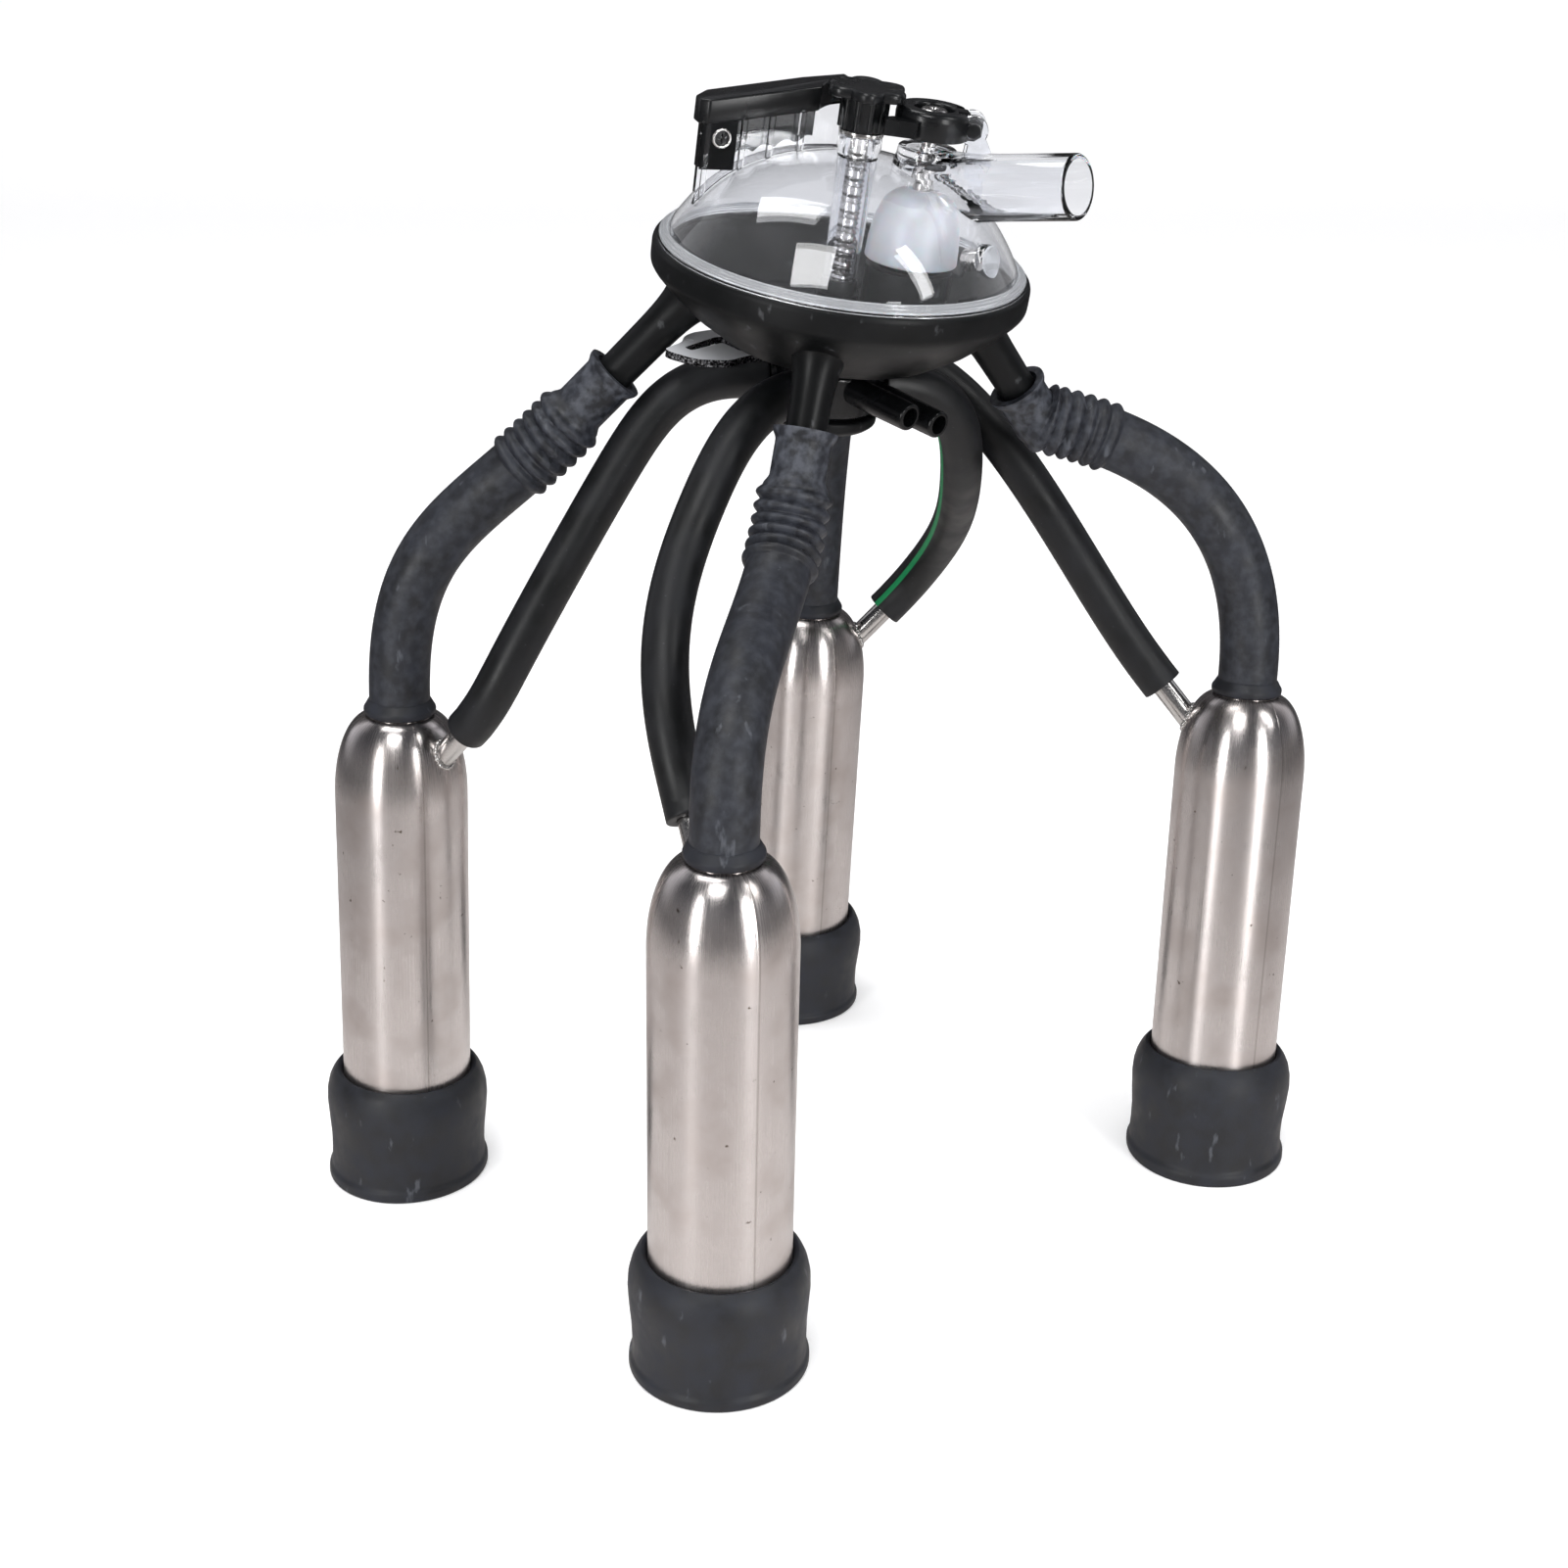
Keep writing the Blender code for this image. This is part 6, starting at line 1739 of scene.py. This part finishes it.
# faces that look up or down get the painted reflection, the cut edges the painted shade
for face in plate.data.polygons:
    face.material_index = 0 if abs(face.normal.dot(claw_z)) > 0.8 else 1
print("hook plate faces:", len(plate.data.polygons))

# %% Distributor
BODY_FOOT, BODY_R, COVER_R = BODY_TOP - 15.8, 17.5, 18.6
COVER_FOOT = BODY_FOOT - 5.2
PIPE_R, PIPE_BORE_R, PIPE_AZIMUTH = 4.4, 3.1, -47.0
PIPES = ((-2.6, BODY_TOP - 5.4, 41.5), (8.9, BODY_TOP - 8.8, 44.0))
body_outline = [(3.0, BODY_FOOT), (BODY_R - 1.5, BODY_FOOT), (BODY_R, BODY_FOOT + 1.2)]
body_outline += [(BODY_R, BODY_TOP - 1.5), (BODY_R - 1.5, BODY_TOP), (3.0, BODY_TOP)]
body = turned("black_distributor", body_outline, steps=96, ring=True)
added, bores = [], []
for name in FEET:
    out = polar(1.0, PORT_AZIMUTHS[name])
    start = polar(12.0, PORT_AZIMUTHS[name], PORT_Z)
    reach = PORT_OUT - 12.0
    outline = [(0.0, 0.0), (PORT_R + 2.5, 0.0), (PORT_R + 1.2, 7.0), (PORT_R, 8.0)]
    outline += [(PORT_R, reach), (0.0, reach)]
    added.append(bar("port_" + name, start, start + out, outline, steps=40, size=0.6))
    bores.append(plug("port_bore_" + name, start + out * 2, start + out * (reach + 4), 2.7, steps=32))
pipe_way, pipe_side = polar(1.0, PIPE_AZIMUTH), polar(1.0, PIPE_AZIMUTH + 90)
for i, (offset, level, reach) in enumerate(PIPES):
    start = pipe_way * 8 + pipe_side * offset + Vector((0, 0, level))
    long = reach - 8
    outline = [(0.0, 0.0), (PIPE_R + 0.3, 0.0), (PIPE_R, long - 0.6), (PIPE_R - 0.3, long), (0.0, long)]
    added.append(bar(f"pipe_{i}", start, start + pipe_way, outline, steps=48, size=0.3))
    inner = pipe_way * (abs(offset) + 6) + pipe_side * offset + Vector((0, 0, level))
    bores.append(plug(f"pipe_bore_{i}", inner, start + pipe_way * (long + 4), PIPE_BORE_R, steps=40))
body = combine(body, added, "UNION")
body = combine(body, bores, "DIFFERENCE")
keep(body, "base", ["distributor_body"], "black_plastic", GLOSS_BLACK)
cover_lines = [(3.0, COVER_FOOT), (COVER_R - 2.2, COVER_FOOT), (COVER_R, COVER_FOOT + 1.8)]
cover_lines += [(COVER_R, BODY_FOOT - 0.8), (COVER_R - 0.4, BODY_FOOT - 0.2), (3.0, BODY_FOOT - 0.2)]
lid = turned("black_distributor_cover", cover_lines, steps=96, ring=True, size=0.7)
keep(lid, "base", ["distributor_cover"], "black_plastic", BOWL_BLACK)
bolt_outline = [
    (0.0, COVER_FOOT - 3.3),
    (3.6, COVER_FOOT - 3.3),
    (5.0, COVER_FOOT - 2.2),
    (5.2, COVER_FOOT - 0.1),
    (2.5, COVER_FOOT - 0.1),
    (2.5, -25.9),
    (0.0, -25.9),
]
bolt = turned("steel_distributor_screw", bolt_outline, steps=48, size=0.4)
across_slot = [(-6.0, -0.6), (6.0, -0.6), (6.0, 0.6), (-6.0, 0.6)]
bolt = combine(bolt, [slab("driver_slot", across_slot, COVER_FOOT - 5, COVER_FOOT - 2.0)], "DIFFERENCE")
keep(bolt, "base", ["distributor_screw"], "fitting_steel", FITTING_STEEL)
print("distributor faces:", len(body.data.polygons))

# %% [markdown]
# ## Seals and small fittings
# The gasket, seals, washer and insert sit between bigger pieces. They are turned again finely,
# because some of them show through the clear bowl.

# %% Seals, washer and insert
gasket_outline = band(FLANGE_R - 3.4, FLANGE_R - 0.2, -2.9, -1.3)
column_seal_outline = [(3.6, BOSS_TOP + 0.1), (5.9, BOSS_TOP + 0.1)]
column_seal_outline += [(5.6, COLUMN_FOOT - 0.1), (3.6, COLUMN_FOOT - 0.1)]
stem_seal_outline = band(STEM_R + 0.15, 5.9, 30.4, 32.9)
insert_outline = band(SCREW_R + 0.1, INSERT_R, INSERT_FOOT, BOSS_TOP + 0.2)
washer_outline = band(SCREW_R + 0.1, 7.1, COLUMN_TOP + 0.1, HUB_FOOT - 0.1)
SMALL = (
    ("rubber_gasket", gasket_outline, 0.0, "base", "bowl_gasket", "seal_rubber", SEAL),
    ("rubber_column_seal", column_seal_outline, 0.0, "base", "column_seal", "seal_rubber", SEAL),
    ("rubber_stem_seal", stem_seal_outline, VALVE_X, "bowl_top", "stem_seal", "seal_rubber", SEAL),
    ("brass_screw_insert", insert_outline, 0.0, "base", "screw_insert", "brass_insert", BRASS),
    ("steel_knob_washer", washer_outline, 0.0, "clamp_washer", "knob_washer",
     "fitting_steel", FITTING_STEEL),
)
for name, outline, x, body_name, node, slot_name, mat in SMALL:
    small = turned(name, outline, steps=72, centre=(x, 0), ring=True, size=0.3)
    keep(small, body_name, [node], slot_name, mat)
print("small fittings:", len(SMALL))

# %% [markdown]
# ## Last step
# The view layer is updated once more, so that every piece stands where it was put.

# %% Update
bpy.context.view_layer.update()
